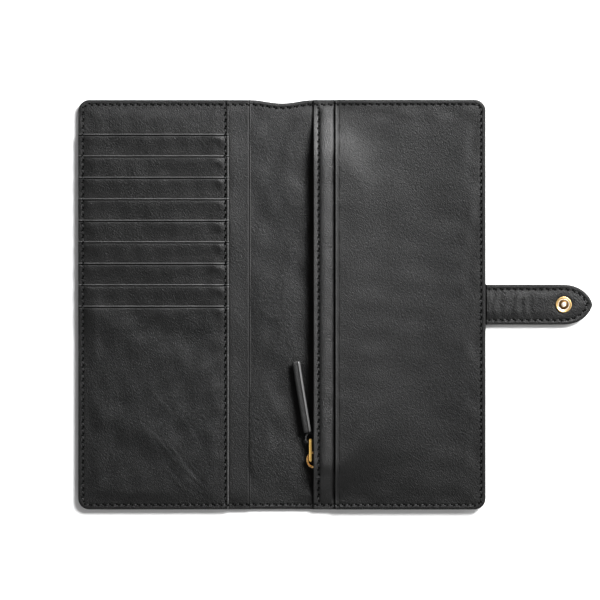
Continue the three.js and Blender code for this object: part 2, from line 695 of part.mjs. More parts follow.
makeCovers();
makeBoards();
makeLinings();
makeFrontPockets();
makeBackPockets();
makeZip();
makeSlider();
makeStrap();
makeSnap();
makeThreads();

export default wallet;
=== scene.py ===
"""The finished look of an open travel document wallet in black leather, built around its CAD frame.

Lengths are in millimetres until a mesh is made, and the meshes are in metres.
x runs from the spine to the strap, y to the wallet's head and z up out of the open wallet.
"""

import json
import math

import bpy
import numpy as np
from mathutils import Vector
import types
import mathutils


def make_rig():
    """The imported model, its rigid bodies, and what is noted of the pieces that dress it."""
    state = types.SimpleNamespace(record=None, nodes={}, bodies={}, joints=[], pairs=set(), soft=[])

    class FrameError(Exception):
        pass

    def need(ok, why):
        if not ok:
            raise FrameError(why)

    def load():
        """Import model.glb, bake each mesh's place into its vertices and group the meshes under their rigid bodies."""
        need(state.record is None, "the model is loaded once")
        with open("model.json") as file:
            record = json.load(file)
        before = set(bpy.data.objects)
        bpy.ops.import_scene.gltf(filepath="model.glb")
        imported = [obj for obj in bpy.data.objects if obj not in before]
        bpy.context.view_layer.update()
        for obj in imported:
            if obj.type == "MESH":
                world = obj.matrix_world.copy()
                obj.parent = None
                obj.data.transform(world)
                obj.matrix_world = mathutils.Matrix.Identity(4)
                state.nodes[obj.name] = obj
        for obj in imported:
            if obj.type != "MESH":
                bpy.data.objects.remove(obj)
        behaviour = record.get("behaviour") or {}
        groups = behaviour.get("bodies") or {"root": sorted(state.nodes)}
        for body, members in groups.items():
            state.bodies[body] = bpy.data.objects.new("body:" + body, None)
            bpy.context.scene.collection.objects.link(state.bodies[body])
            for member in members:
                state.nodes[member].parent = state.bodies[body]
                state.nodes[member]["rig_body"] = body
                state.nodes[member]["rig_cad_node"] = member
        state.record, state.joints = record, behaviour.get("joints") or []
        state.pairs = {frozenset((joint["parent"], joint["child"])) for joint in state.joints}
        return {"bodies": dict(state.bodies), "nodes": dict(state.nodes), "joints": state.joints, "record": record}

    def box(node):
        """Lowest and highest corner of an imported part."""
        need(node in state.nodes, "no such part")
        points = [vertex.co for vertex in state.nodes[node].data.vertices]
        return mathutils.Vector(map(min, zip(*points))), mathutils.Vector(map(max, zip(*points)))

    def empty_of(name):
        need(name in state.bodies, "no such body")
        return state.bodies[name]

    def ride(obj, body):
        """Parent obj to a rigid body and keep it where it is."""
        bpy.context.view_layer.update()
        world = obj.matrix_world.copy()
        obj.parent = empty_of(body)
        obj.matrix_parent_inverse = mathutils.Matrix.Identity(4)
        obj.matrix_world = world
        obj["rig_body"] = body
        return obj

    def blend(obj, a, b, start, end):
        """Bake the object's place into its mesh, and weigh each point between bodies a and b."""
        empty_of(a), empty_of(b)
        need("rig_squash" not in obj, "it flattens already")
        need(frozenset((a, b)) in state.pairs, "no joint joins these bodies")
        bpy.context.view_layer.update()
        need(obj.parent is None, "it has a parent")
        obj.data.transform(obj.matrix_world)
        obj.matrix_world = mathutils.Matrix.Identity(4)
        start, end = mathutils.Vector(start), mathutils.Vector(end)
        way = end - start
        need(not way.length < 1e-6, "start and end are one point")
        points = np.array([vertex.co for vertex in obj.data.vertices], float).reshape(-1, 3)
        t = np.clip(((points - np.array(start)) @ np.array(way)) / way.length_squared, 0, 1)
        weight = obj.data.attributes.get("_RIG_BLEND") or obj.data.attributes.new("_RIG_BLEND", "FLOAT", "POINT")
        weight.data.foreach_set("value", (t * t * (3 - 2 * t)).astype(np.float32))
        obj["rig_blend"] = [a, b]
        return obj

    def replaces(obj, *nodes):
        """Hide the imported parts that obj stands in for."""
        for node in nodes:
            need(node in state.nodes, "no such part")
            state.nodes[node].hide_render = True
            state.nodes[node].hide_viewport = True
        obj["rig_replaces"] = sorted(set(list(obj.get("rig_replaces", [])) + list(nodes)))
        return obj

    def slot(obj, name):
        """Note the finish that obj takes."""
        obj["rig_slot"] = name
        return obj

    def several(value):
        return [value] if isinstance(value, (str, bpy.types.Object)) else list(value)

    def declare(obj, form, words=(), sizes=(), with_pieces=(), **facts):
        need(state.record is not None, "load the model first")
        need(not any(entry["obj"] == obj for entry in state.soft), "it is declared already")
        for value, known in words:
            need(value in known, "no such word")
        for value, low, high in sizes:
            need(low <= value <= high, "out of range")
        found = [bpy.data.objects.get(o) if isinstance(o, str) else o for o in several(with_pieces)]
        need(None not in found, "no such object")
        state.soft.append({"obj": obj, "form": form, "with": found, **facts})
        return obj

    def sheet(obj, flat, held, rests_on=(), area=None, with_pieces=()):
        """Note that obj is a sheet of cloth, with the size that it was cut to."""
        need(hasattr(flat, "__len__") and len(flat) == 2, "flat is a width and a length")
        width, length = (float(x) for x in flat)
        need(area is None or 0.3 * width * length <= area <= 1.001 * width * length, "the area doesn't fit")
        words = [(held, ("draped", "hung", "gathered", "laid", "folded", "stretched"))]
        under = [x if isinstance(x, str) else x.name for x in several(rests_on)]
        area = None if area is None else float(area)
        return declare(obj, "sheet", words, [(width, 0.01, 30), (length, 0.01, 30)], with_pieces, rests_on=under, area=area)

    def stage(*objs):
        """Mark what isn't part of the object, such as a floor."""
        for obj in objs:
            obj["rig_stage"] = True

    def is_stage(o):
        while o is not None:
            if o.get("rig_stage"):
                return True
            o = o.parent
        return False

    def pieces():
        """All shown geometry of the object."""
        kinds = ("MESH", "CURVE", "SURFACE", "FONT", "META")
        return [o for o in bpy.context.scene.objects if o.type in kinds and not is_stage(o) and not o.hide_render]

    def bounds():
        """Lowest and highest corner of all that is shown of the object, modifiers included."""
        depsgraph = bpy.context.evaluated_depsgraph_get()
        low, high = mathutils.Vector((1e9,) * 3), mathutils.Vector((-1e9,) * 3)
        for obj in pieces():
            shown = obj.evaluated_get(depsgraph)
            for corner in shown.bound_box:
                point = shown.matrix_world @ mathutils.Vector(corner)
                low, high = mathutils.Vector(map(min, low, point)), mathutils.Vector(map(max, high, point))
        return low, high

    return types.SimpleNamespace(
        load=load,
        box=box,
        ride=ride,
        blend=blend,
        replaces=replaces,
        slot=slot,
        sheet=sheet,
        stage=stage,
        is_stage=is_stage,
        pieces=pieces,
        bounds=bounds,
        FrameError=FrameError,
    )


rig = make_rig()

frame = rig.load()
cad_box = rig.bounds()

# ---- sizes, read from the frame where it has them ------------------------------------------

METRE = 0.001


def low(node):
    """The lowest x, y and z of a node of the frame, in mm."""
    return [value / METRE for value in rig.box(node)[0]]


def high(node):
    """The highest x, y and z of a node of the frame, in mm."""
    return [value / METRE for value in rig.box(node)[1]]


def middle(node):
    """The middle of a node of the frame, in mm."""
    return [(a + b) / 2 for a, b in zip(low(node), high(node))]


FORE_EDGE = high("outer_cover_back")[0]
HALF_HEIGHT = high("outer_cover_back")[1]
CORNER = 7.0
DIP_DEPTH = 2.1
DIP_HALF_WIDTH = 20.0
SEAM_INSET = 3.0
STITCH_PITCH = 4.3

COVER_TOP = high("outer_cover_back")[2]
LINING_UNDER = low("back_lining")[2]
LINING_TOP = high("back_lining")[2]
LONG_EDGE = -high("long_pocket_panel")[0]
CARD_EDGE = -high("card_panel_backing")[0]
CARD_SEAM = -middle("card_panel_thread")[0]
CARD_POCKETS = 8
POCKET_LENGTH = high("card_pocket_1")[1] - low("card_pocket_1")[1]
POCKET_TAIL = low("card_pocket_1")[2]
POCKET_THICKNESS = 0.6
POCKET_RISE = high("card_pocket_1")[2] - POCKET_TAIL - POCKET_THICKNESS

ZIP_EDGE = low("zip_pocket_panel")[0]
ZIP_SEAM = middle("zip_panel_thread")[0]
ZIP_BASE = low("zip_pocket_panel")[2]
ZIP_THICKNESS = 1.0
SLIP_EDGE = low("slip_pocket_panel")[0]
SLIP_BASE = low("slip_pocket_panel")[2]
SLIP_THICKNESS = 0.8
BOW_RISE = high("zip_pocket_panel")[2] - ZIP_BASE - ZIP_THICKNESS

# The zip pocket's rise: where it starts and ends across the wallet, how far from the middle it
# begins to fall towards the head and the foot, and how much sooner it falls beyond the ease.
BOW_START = 22.0
BOW_END = 125.0
BOW_FLAT_HEAD = 88.0
BOW_FLAT_FOOT = 98.0
BOW_FOOT = 126.0
BOW_EASE_START = 30.0
BOW_EASE_LENGTH = 40.0
BOW_EASE = 36.0

STRAP_HALF_WIDTH = high("strap_base_outer")[1]
STRAP_END = high("strap_tip_outer")[0]
STRAP_TAPER = 177.0
STRAP_LEVELS = [low("strap_base_outer")[2], high("strap_base_outer")[2]]
STRAP_INNER_LEVELS = [low("strap_base_inner")[2], high("strap_base_inner")[2]]
STRAP_JOIN = middle("strap_base_outer")[0]

# Where the leather bends at each fold: the x at which it leaves one body, then the x at which it
# reaches the next. FOLD_LINE is where the covers are pressed in for the spine's folds.
FOLD_LINE = 5.6
BACK_FOLD = (8.9, 1.1)
FRONT_FOLD = (-1.1, -8.9)
STRAP_ROOT_FOLD = (129.05, 134.5)
STRAP_TIP_FOLD = (137.85, 143.35)


# ---- shader recipes ------------------------------------------------------------------------


class Wire:
    """A shader socket that can be used in sums."""

    def __init__(self, recipe, socket):
        self.recipe = recipe
        self.socket = socket

    def sum(self, operation, first, second):
        return self.recipe.node("ShaderNodeMath", {"operation": operation}, {0: first, 1: second})

    def __add__(self, other):
        return self.sum("ADD", self, other)

    def __sub__(self, other):
        return self.sum("SUBTRACT", self, other)

    def __rsub__(self, other):
        return self.sum("SUBTRACT", other, self)

    def __mul__(self, other):
        return self.sum("MULTIPLY", self, other)

    __radd__ = __add__
    __rmul__ = __mul__


class Recipe:
    """One material and its node tree."""

    def __init__(self, name):
        self.material = bpy.data.materials.new(name)
        self.material.use_nodes = True
        self.tree = self.material.node_tree
        self.tree.nodes.clear()

    def node(self, kind, settings=None, inputs=None, output=0):
        made = self.tree.nodes.new(kind)
        for key, value in (settings or {}).items():
            if key == "stops":
                self.set_stops(made.color_ramp, value)
            else:
                setattr(made, key, value)
        for key, value in (inputs or {}).items():
            self.plug(made.inputs[key], value)
        return Wire(self, made.outputs[output])

    def plug(self, socket, value):
        if isinstance(value, Wire):
            self.tree.links.new(value.socket, socket)
        else:
            socket.default_value = value

    def set_stops(self, ramp, stops):
        while len(ramp.elements) < len(stops):
            ramp.elements.new(0.5)
        for element, (position, shade) in zip(ramp.elements, stops):
            element.position = position
            element.color = (shade, shade, shade, 1)

    def place(self, stretch=(1, 1, 1), turn=0.0):
        """The piece's own coordinates, turned about z and then stretched along each axis."""
        spot = self.node("ShaderNodeTexCoord", output=3)
        return self.node("ShaderNodeMapping", {"vector_type": "TEXTURE"}, {
            "Vector": spot, "Scale": stretch, "Rotation": (0, 0, math.radians(turn)),
        })

    def noise(self, size, place=None, detail=2.0, roughness=0.5, distortion=0.0):
        """Soft noise whose blotches are about size mm across."""
        return self.node("ShaderNodeTexNoise", None, {
            "Vector": place or self.place(), "Scale": 1 / (size * METRE), "Detail": detail,
            "Roughness": roughness, "Distortion": distortion,
        })

    def cells(self, size, place):
        """The distance from the middle of cells about size mm across, from 0 to about 1."""
        return self.node("ShaderNodeTexVoronoi", None, {"Vector": place, "Scale": 1 / (size * METRE)})

    def ribs(self, direction, pace, distortion):
        """Parallel ribs; the pace is how many of them fill about 0.31 m."""
        return self.node("ShaderNodeTexWave", {"bands_direction": direction}, {
            "Vector": self.place(), "Scale": pace, "Distortion": distortion,
        })

    def ramp(self, value, stops):
        return self.node("ShaderNodeValToRGB", {"stops": stops}, {"Fac": value})

    def mix(self, share, first, second):
        return self.node("ShaderNodeMix", {"data_type": "RGBA"}, {0: share, 6: first, 7: second}, 2)

    def bump(self, height, depth, strength=1.0):
        """Bumps of that depth in mm where height goes from 0 to 1."""
        return self.node("ShaderNodeBump", None, {
            "Height": height, "Distance": depth * METRE, "Strength": strength,
        })

    def finish(self, **sockets):
        shader = self.node(
            "ShaderNodeBsdfPrincipled", None, {key.replace("_", " "): value for key, value in sockets.items()}
        )
        out = self.tree.nodes.new("ShaderNodeOutputMaterial")
        self.tree.links.new(shader.socket, out.inputs["Surface"])
        return self.material


def grey(value, warmth=0.0):
    """A grey, a little redder and less blue where warmth is above 0."""
    return (value * (1 + warmth), value, value * (1 - warmth), 1)


WARP_PACE = 420.0
WARP_REACH = 1.1 * METRE
PEBBLE = 0.80
PORE = 0.5
STROKE = 0.62
STROKE_TURN = 34
CREASE = 3.4
CREASE_TURN = 35
# The size in mm of the patches that are glossier with wear and lighter with painted sheen.
SHEEN_AND_WEAR_PATCH = 26
GRAIN_DEPTH = 0.21


def calf_leather(name, tone, roughness, grain=1.0, specular=0.5):
    """Black calf with fine pebbles, slanting strokes, soft creases and uneven gloss; its random lighter patches are
    glossier with wear and lighter with painted sheen.
    """
    made = Recipe(name)
    push = made.node("ShaderNodeTexNoise", None, {"Vector": made.place(), "Scale": WARP_PACE}, 1)
    pushed = made.node("ShaderNodeVectorMath", {"operation": "SCALE"}, {0: push, 3: WARP_REACH})
    warped = made.node("ShaderNodeVectorMath", {"operation": "ADD"}, {0: made.place(), 1: pushed})
    pebbles = made.cells(PEBBLE * grain, warped)
    pores = made.noise(PORE * grain, detail=3, roughness=0.6)
    creases = made.noise(CREASE, made.place((1, 2, 1), CREASE_TURN), 4, 0.6, 1.0)
    strokes = made.noise(STROKE * grain, made.place((1, 2.6, 1), STROKE_TURN), 3, 0.65)
    crease_lines = made.node("ShaderNodeMath", {"operation": "ABSOLUTE"}, {0: creases - 0.5})
    patches = made.noise(SHEEN_AND_WEAR_PATCH, detail=3)
    sheen_and_wear = made.ramp(patches, [(0.35, 0.0), (0.7, 1.0)])
    height = 0.45 * pebbles + 0.25 * pores + 1.3 * strokes + 0.9 * crease_lines
    # The patches' lighter colour is painted sheen; their lower roughness is wear.
    colour = made.mix(sheen_and_wear, grey(tone * 0.8), grey(tone * 1.3))
    colour = made.mix(made.ramp(pebbles, [(0.2, 0.0), (0.9, 0.6)]), colour, grey(tone * 0.45))
    gloss = roughness + 0.10 * (pores - 0.5) - 0.07 * (sheen_and_wear - 0.5)
    return made.finish(
        Base_Color=colour,
        Roughness=gloss,
        Specular_IOR_Level=specular,
        Normal=made.bump(height, GRAIN_DEPTH * grain),
    )


def painted_edge(name, tone):
    """The burnished, painted edge of cut leather."""
    made = Recipe(name)
    streaks = made.noise(0.9, made.place((1, 1, 0.16)), 3)
    colour = made.mix(streaks, grey(tone * 0.7), grey(tone * 1.4))
    return made.finish(
        Base_Color=colour, Roughness=0.30 + 0.16 * streaks, Normal=made.bump(streaks, 0.05, 0.5)
    )


def woven_tape(name, tone, thread=0.45):
    """Closely woven tape: two crossing sets of ribs, each rib as wide as the thread."""
    made = Recipe(name)
    pace = 0.16 / (thread * METRE)
    fuzz = made.noise(0.2, detail=2)
    height = 0.5 * made.ribs("Y", pace, 0.4) + 0.5 * made.ribs("Z", pace, 0.4)
    # Darker where the weave is low: painted shade between the threads; the fuzz varies it at random.
    colour = made.mix(height * fuzz, grey(tone * 0.5), grey(tone * 1.9))
    return made.finish(Base_Color=colour, Roughness=0.85, Normal=made.bump(height, 0.12, 0.8))


TWIST_PACE = 420.0


def waxed_thread(name, tone):
    """Twisted thread with a little wax on it."""
    made = Recipe(name)
    twist = made.ribs("DIAGONAL", TWIST_PACE, 1.0)
    # Darker in the grooves of the twist: painted shade.
    colour = made.mix(twist, grey(tone * 0.6), grey(tone * 1.5))
    return made.finish(Base_Color=colour, Roughness=0.42, Normal=made.bump(twist, 0.06, 0.7))


def painted_shade_leather(name):
    """Painted shade: near-black leather that stands for the dark inside an awl hole or a crease, with its torn fibres
    a little lighter.
    """
    made = Recipe(name)
    fibres = made.noise(0.4, detail=2)
    return made.finish(
        Base_Color=made.mix(fibres, grey(0.0008), grey(0.004)), Roughness=0.95, Specular_IOR_Level=0.05
    )


def gold_plate(name, shade, rub=0.26, metal=0.75):
    """Polished gold plating, hazy and faintly scuffed; rub is its roughness."""
    made = Recipe(name)
    haze = made.noise(2.2, detail=4)
    scuffs = made.noise(0.5, made.place((1, 8, 1), 20), 3)
    colour = made.mix(haze, (*shade, 1), (*(value * 1.18 for value in shade), 1))
    return made.finish(
        Base_Color=colour,
        Metallic=metal,
        Roughness=rub + 0.14 * (haze - 0.4) + 0.08 * (scuffs - 0.5),
        Normal=made.bump(scuffs, 0.01, 0.3),
    )


def fibre_board(name):
    """Pressed board with its fibres running one way."""
    made = Recipe(name)
    fibres = made.noise(0.8, made.place((1, 3.3, 1)), 4)
    colour = made.mix(fibres, grey(0.05, 0.02), grey(0.10, 0.03))
    return made.finish(Base_Color=colour, Roughness=0.9, Normal=made.bump(fibres, 0.05, 0.5))


COVER_LEATHER = calf_leather("cover_calf", 0.010, 0.50, 1.25)
POCKET_LEATHER = calf_leather("pocket_calf", 0.008, 0.43, 0.9, 0.33)
ZIP_LEATHER = calf_leather("zip_pocket_calf", 0.008, 0.43, 0.9, 0.41)
SLIP_LEATHER = calf_leather("slip_pocket_calf", 0.008, 0.46, 0.95, 0.25)
# The lips are lighter and glossier than the pockets: a painted highlight along the mouths' edges.
CARD_LIP_HIGHLIGHT = calf_leather("card_pocket_lip", 0.026, 0.45, 0.8, 0.58)
BACK_LIP_HIGHLIGHT = calf_leather("back_pocket_lip", 0.012, 0.46, 0.8, 0.36)
LINING_LEATHER = calf_leather("lining_calf", 0.008, 0.43, 0.9, 0.36)
STRAP_LEATHER = calf_leather("strap_calf", 0.008, 0.42, 1.0, 0.29)
PULL_LEATHER = calf_leather("pull_calf", 0.020, 0.46, 0.7)
EDGE_PAINT = painted_edge("edge_paint", 0.022)
# The pull's edge paint is much lighter than the other edges: partly a painted highlight on its cut edge.
PULL_EDGE_HIGHLIGHT = painted_edge("pull_edge_paint", 0.075)
BOARD = fibre_board("fibre_board")
LINING_CLOTH = woven_tape("lining_cloth", 0.012, 0.3)
ZIP_TAPE = woven_tape("zip_tape", 0.010)
GOLD = gold_plate("gold_plate", (0.76, 0.52, 0.24), 0.28, 0.85)
TAB_GOLD = gold_plate("tab_gold", (0.88, 0.58, 0.19), 0.30, 0.5)
# Pale, nearly white gold for the stud's ring and ball: a painted highlight.
HIGHLIGHT_GOLD = gold_plate("rubbed_gold_plate", (0.84, 0.78, 0.68), 0.22, 0.5)
# Dark gold for the stud's recess: painted shade.
SHADED_GOLD = gold_plate("dulled_gold_plate", (0.10, 0.055, 0.02), 0.34, 0.7)
THREAD = waxed_thread("waxed_thread", 0.010)
HOLE_SHADE = painted_shade_leather("awl_hole")
CREASE_SHADE = painted_shade_leather("hot_crease")


# ---- fields of leather ------------------------------------------------------------------------


def smooth(value):
    """0 below 0, 1 above 1 and a smooth rise between."""
    t = np.clip(value, 0, 1)
    return t * t * (3 - 2 * t)


def ridge(distance, width):
    """A rounded ridge of height 1 that dies away within about two widths."""
    return np.exp(-((distance / width) ** 2))


def ripple(x, y, size, seed, waves=9):
    """A smooth random field of about -1 to 1 whose swells are about size mm apart."""
    chance = np.random.default_rng(seed)
    total = np.zeros(np.broadcast(x, y).shape)
    for _ in range(waves):
        angle, phase = chance.uniform(0, 2 * math.pi, 2)
        pace = 2 * math.pi / (size * chance.uniform(0.7, 1.5))
        total += np.sin(pace * (x * math.cos(angle) + y * math.sin(angle)) + phase)
    return total / math.sqrt(waves)


def head_edge(x):
    """The wallet's head dips a little where it crosses the spine."""
    t = np.minimum(np.abs(x) / DIP_HALF_WIDTH, 1)
    return HALF_HEIGHT - DIP_DEPTH * (1 + np.cos(math.pi * t)) / 2


def rim_reach(x, y):
    """How far a point lies inside the wallet's outline, in mm."""
    edge = np.where(y > 0, head_edge(x), HALF_HEIGHT)
    across = np.abs(x) - (FORE_EDGE - CORNER)
    along = np.abs(y) - (edge - CORNER)
    round_corner = CORNER - np.hypot(np.maximum(across, 0), np.maximum(along, 0))
    inside = np.minimum(FORE_EDGE - np.abs(x), edge - np.abs(y))
    return np.where((across > 0) & (along > 0), round_corner, inside)


# The edge seam's runs up one side, round a corner and along the head, which whole stitches fill.
SEAM_CORNER = CORNER - SEAM_INSET
SIDE_RUN = HALF_HEIGHT - CORNER
CORNER_RUN = SEAM_CORNER * math.pi / 2
HEAD_RUN = FORE_EDGE - CORNER
EDGE_STITCHES = round((SIDE_RUN + CORNER_RUN + HEAD_RUN) / STITCH_PITCH)
EDGE_PITCH = (SIDE_RUN + CORNER_RUN + HEAD_RUN) / EDGE_STITCHES


def seam_run(x, y):
    """How far along the edge seam a point lies, from the middle of the fore-edge."""
    across = np.abs(x) - (FORE_EDGE - CORNER)
    along = np.abs(y) - SIDE_RUN
    turn = np.arctan2(np.maximum(along, 1e-9), np.maximum(across, 1e-9))
    round_corner = SIDE_RUN + SEAM_CORNER * turn
    flat = SIDE_RUN + CORNER_RUN + (HEAD_RUN - np.abs(x))
    return np.where(along <= 0, np.abs(y), np.where(across <= 0, flat, round_corner))


HOLE_SHARE = 0.16
HOLE_DIMPLE = 0.55


def needle_holes(run, pitch):
    """Near 1 in each pair of needle holes at a stitch's ends, and 0 between."""
    phase = run / pitch - np.floor(run / pitch)
    first, second = (phase - HOLE_SHARE) * pitch, (phase - 1 + HOLE_SHARE) * pitch
    return ridge(first, HOLE_DIMPLE) + ridge(second, HOLE_DIMPLE)


def seam_dent(distance, run, pitch, depth=0.32):
    """The groove that a row of stitches pulls into the leather, deepest at its holes."""
    groove = 0.16 * ridge(distance, 0.8)
    dimples = 0.25 * ridge(distance, 0.6) * needle_holes(run, pitch)
    return depth * (groove + dimples)


def rolled(distance, radius):
    """How far a rounded edge of that radius has dropped at a distance from the edge."""
    t = 1 - np.clip(distance / radius, 0, 1)
    return radius * (1 - np.sqrt(np.maximum(1 - t * t, 0)))


# A pocket mouth: the bead along its edge, the hot crease beside it and the lip; the crease line is coloured with
# painted shade and the lip with a painted highlight.
BEAD = 1.0
CREASE_PLACE = BEAD + 0.2
CREASE_WIDTH = 0.6
MOUTH_LIP = 0.85
PARED_CURVE = 1.25


def creased_edge(distance, depth=0.50, fall=0.36):
    """A mouth's pared edge, which falls away outwards, and the hot-creased line beside it."""
    pared = fall * (1 - np.clip(distance / BEAD, 0, 1)) ** PARED_CURVE
    return depth * ridge(distance - CREASE_PLACE, 0.32) + pared


def crown(distance, height, run):
    """A strip's own curve: up out of its crease and gently down again over the run."""
    past = np.maximum(distance - BEAD - 0.1, 0)
    return height * (1 - np.exp(-past / 0.9)) * (1 - smooth((past - 0.6) / run))


# ---- meshes --------------------------------------------------------------------------------------

# The mesh's even spacing, and its closer rows beside an edge, a crease and a seam.
GRID_STEP = 1.07
RIM_STEPS = (0, 0.07, 0.18, 0.35, 0.6)
CREASE_STEPS = (0.75, 0.9, 1.05, 1.2, 1.35, 1.5, 1.7, 2.0, 2.4, 3.0)
SEAM_STEPS = (-1.3, -0.9, -0.55, -0.25, 0, 0.25, 0.55, 0.9, 1.3)
CLOSEST = 0.035


def stations(first, last, step, *details):
    """Even stations from first to last, with closer ones at each detail: (place, offsets)."""
    even = np.linspace(first, last, max(2, math.ceil((last - first) / step) + 1))
    close = [place + offset for place, offsets in details for offset in offsets]
    close = sorted(value for value in close if first <= value <= last)
    kept = [value for value in even if all(abs(value - other) > step * 0.45 for other in close)]
    merged = sorted({round(value, 4) for value in [first, last, *kept, *close]})
    out = [merged[0]]
    for value in merged[1:]:
        if value - out[-1] > CLOSEST:
            out.append(value)
    out[-1] = last
    return np.array(out)


def back_from(place, offsets):
    """A detail whose offsets run back from its place."""
    return (place, [-offset for offset in offsets])


def make_mesh(name, points, faces, materials, shades=None, sharp=50):
    """A smooth-shaded object from points in mm; shades gives each face its material's number."""
    mesh = bpy.data.meshes.new(name)
    mesh.from_pydata((np.asarray(points) * METRE).tolist(), [], faces)
    for material in materials:
        mesh.materials.append(material)
    if shades is not None:
        mesh.polygons.foreach_set("material_index", np.asarray(shades, dtype=np.int32))
    mesh.polygons.foreach_set("use_smooth", np.ones(len(mesh.polygons), dtype=bool))
    mesh.set_sharp_from_angle(angle=math.radians(sharp))
    mesh.update()
    piece = bpy.data.objects.new(name, mesh)
    bpy.context.scene.collection.objects.link(piece)
    return piece


# The materials of a leather sheet, by number: plain leather, edge paint, the lip's leather with its painted highlight,
# and the painted shade of crease and cut lines.
PLAIN, PAINTED, BURNISH_AND_HIGHLIGHT, SHADE_LINE = range(4)


def sheet(name, across, along, place, top, under, leather, edge=None, worked=None, lip=None):
    """A closed leather sheet: a top and an underside over one grid, with a painted edge all round.

    worked(x, y) says where the top is plain, where it is the lip, glossed by the edge iron and lightened with painted
    highlight, or where it is the hot line, darkened with painted shade; lip is the lip's leather with that painted
    highlight."""
    x, y = place(*np.meshgrid(across, along, indexing="ij"))
    columns, rows = x.shape
    upper = np.stack([x, y, top(x, y)], axis=-1).reshape(-1, 3)
    lower = np.stack([x, y, under(x, y)], axis=-1).reshape(-1, 3)
    count = columns * rows
    index = np.arange(count).reshape(columns, rows)
    a, b = index[:-1, :-1].ravel(), index[1:, :-1].ravel()
    c, d = index[1:, 1:].ravel(), index[:-1, 1:].ravel()
    faces = np.stack([a, b, c, d], axis=-1).tolist()
    faces += (np.stack([a, d, c, b], axis=-1) + count).tolist()
    rim = [*index[:-1, 0], *index[-1, :-1], *index[:0:-1, -1], *index[0, :0:-1]]
    shades = [PLAIN] * len(faces)
    if worked:
        marks = worked((x[:-1, :-1] + x[1:, 1:]) / 2, (y[:-1, :-1] + y[1:, 1:]) / 2).ravel()
        shades[:len(marks)] = marks.tolist()
    for start, end in zip(rim, rim[1:] + rim[:1]):
        faces.append([int(start), int(start) + count, int(end) + count, int(end)])
        shades.append(PAINTED)
    materials = [leather, edge or EDGE_PAINT] + ([lip, CREASE_SHADE] if worked else [])
    return make_mesh(name, np.concatenate([upper, lower]), faces, materials, shades)


def worked_mouth(distance):
    """The marks along a pocket's mouth: the lip with its painted highlight, then the hot crease in painted shade."""
    creased = (distance > MOUTH_LIP) & (distance < MOUTH_LIP + CREASE_WIDTH)
    return np.where(distance < MOUTH_LIP, BURNISH_AND_HIGHLIGHT, np.where(creased, SHADE_LINE, PLAIN))


CALM_MARGIN = 20


def in_outline(x, y):
    """Moves grid points near the head and foot onto the rounded corners and the dipped head."""
    calm = HALF_HEIGHT - CALM_MARGIN
    beyond = np.maximum(np.abs(x) - (FORE_EDGE - CORNER), 0)
    drop = CORNER - np.sqrt(np.maximum(CORNER ** 2 - beyond ** 2, 0))
    edge = np.where(y > 0, head_edge(x), HALF_HEIGHT) - drop
    share = np.maximum(np.abs(y) - calm, 0) / (HALF_HEIGHT - calm)
    return x, np.where(np.abs(y) > calm, np.sign(y) * (calm + share * (edge - calm)), y)


def as_is(x, y):
    """Leaves grid points where they are."""
    return x, y


def corner_stations():
    """Offsets from the fore-edge that follow the round corner evenly."""
    return [CORNER * (1 - math.sin(math.radians(angle))) for angle in range(0, 91, 9)]


def half_stations(side, inner, *details):
    """Stations across one half of the wallet from inner to its fore-edge, as x."""
    fore = (FORE_EDGE, [-offset for offset in (*RIM_STEPS, *corner_stations())])
    seam = (FORE_EDGE - SEAM_INSET, SEAM_STEPS)
    found = stations(inner, FORE_EDGE, GRID_STEP, (inner, RIM_STEPS), fore, seam, *details)
    return found if side > 0 else -found[::-1]


def full_height():
    """Stations from the foot to the head, as y."""
    seam = HALF_HEIGHT - SEAM_INSET
    return stations(
        -HALF_HEIGHT, HALF_HEIGHT, GRID_STEP,
        (-HALF_HEIGHT, RIM_STEPS), back_from(HALF_HEIGHT, RIM_STEPS), (seam, SEAM_STEPS), (-seam, SEAM_STEPS),
    )


# ---- stitches ----------------------------------------------------------------------------------

# The size and rings of the near-black plug of painted shade in each needle hole.
HOLE_WIDTH = 0.60
HOLE_LENGTH = 0.80
HOLE_RINGS = ((0.7, 0.19), (1.0, 0.14), (0.8, -0.36))
STITCH_LENGTH = 2.9
STITCH_SLANT = 0.2
STITCH_RISE = 0.20
STITCH_DIVE = 0.34
THREAD_RADIUS = 0.27


def add_hole_shade(points, faces, x, y, heading, up):
    """A plug of painted shade in an awl hole: a closed, slightly sunk near-black lens, longer along the seam."""
    base, sides = len(points), 8
    for reach, depth in HOLE_RINGS:
        for side in range(sides):
            angle = 2 * math.pi * side / sides
            u, v = HOLE_LENGTH * reach * math.cos(angle), HOLE_WIDTH * reach * math.sin(angle)
            points.append((
                x + u * math.cos(heading) - v * math.sin(heading),
                y + u * math.sin(heading) + v * math.cos(heading),
                up * depth,
            ))
    for ring in range(2):
        for side in range(sides):
            a, b = base + ring * sides + side, base + ring * sides + (side + 1) % sides
            faces.append([a, a + sides, b + sides, b][::up])
    faces.append([base + side for side in range(sides)][::up])
    faces.append([base + 2 * sides + side for side in reversed(range(sides))][::up])


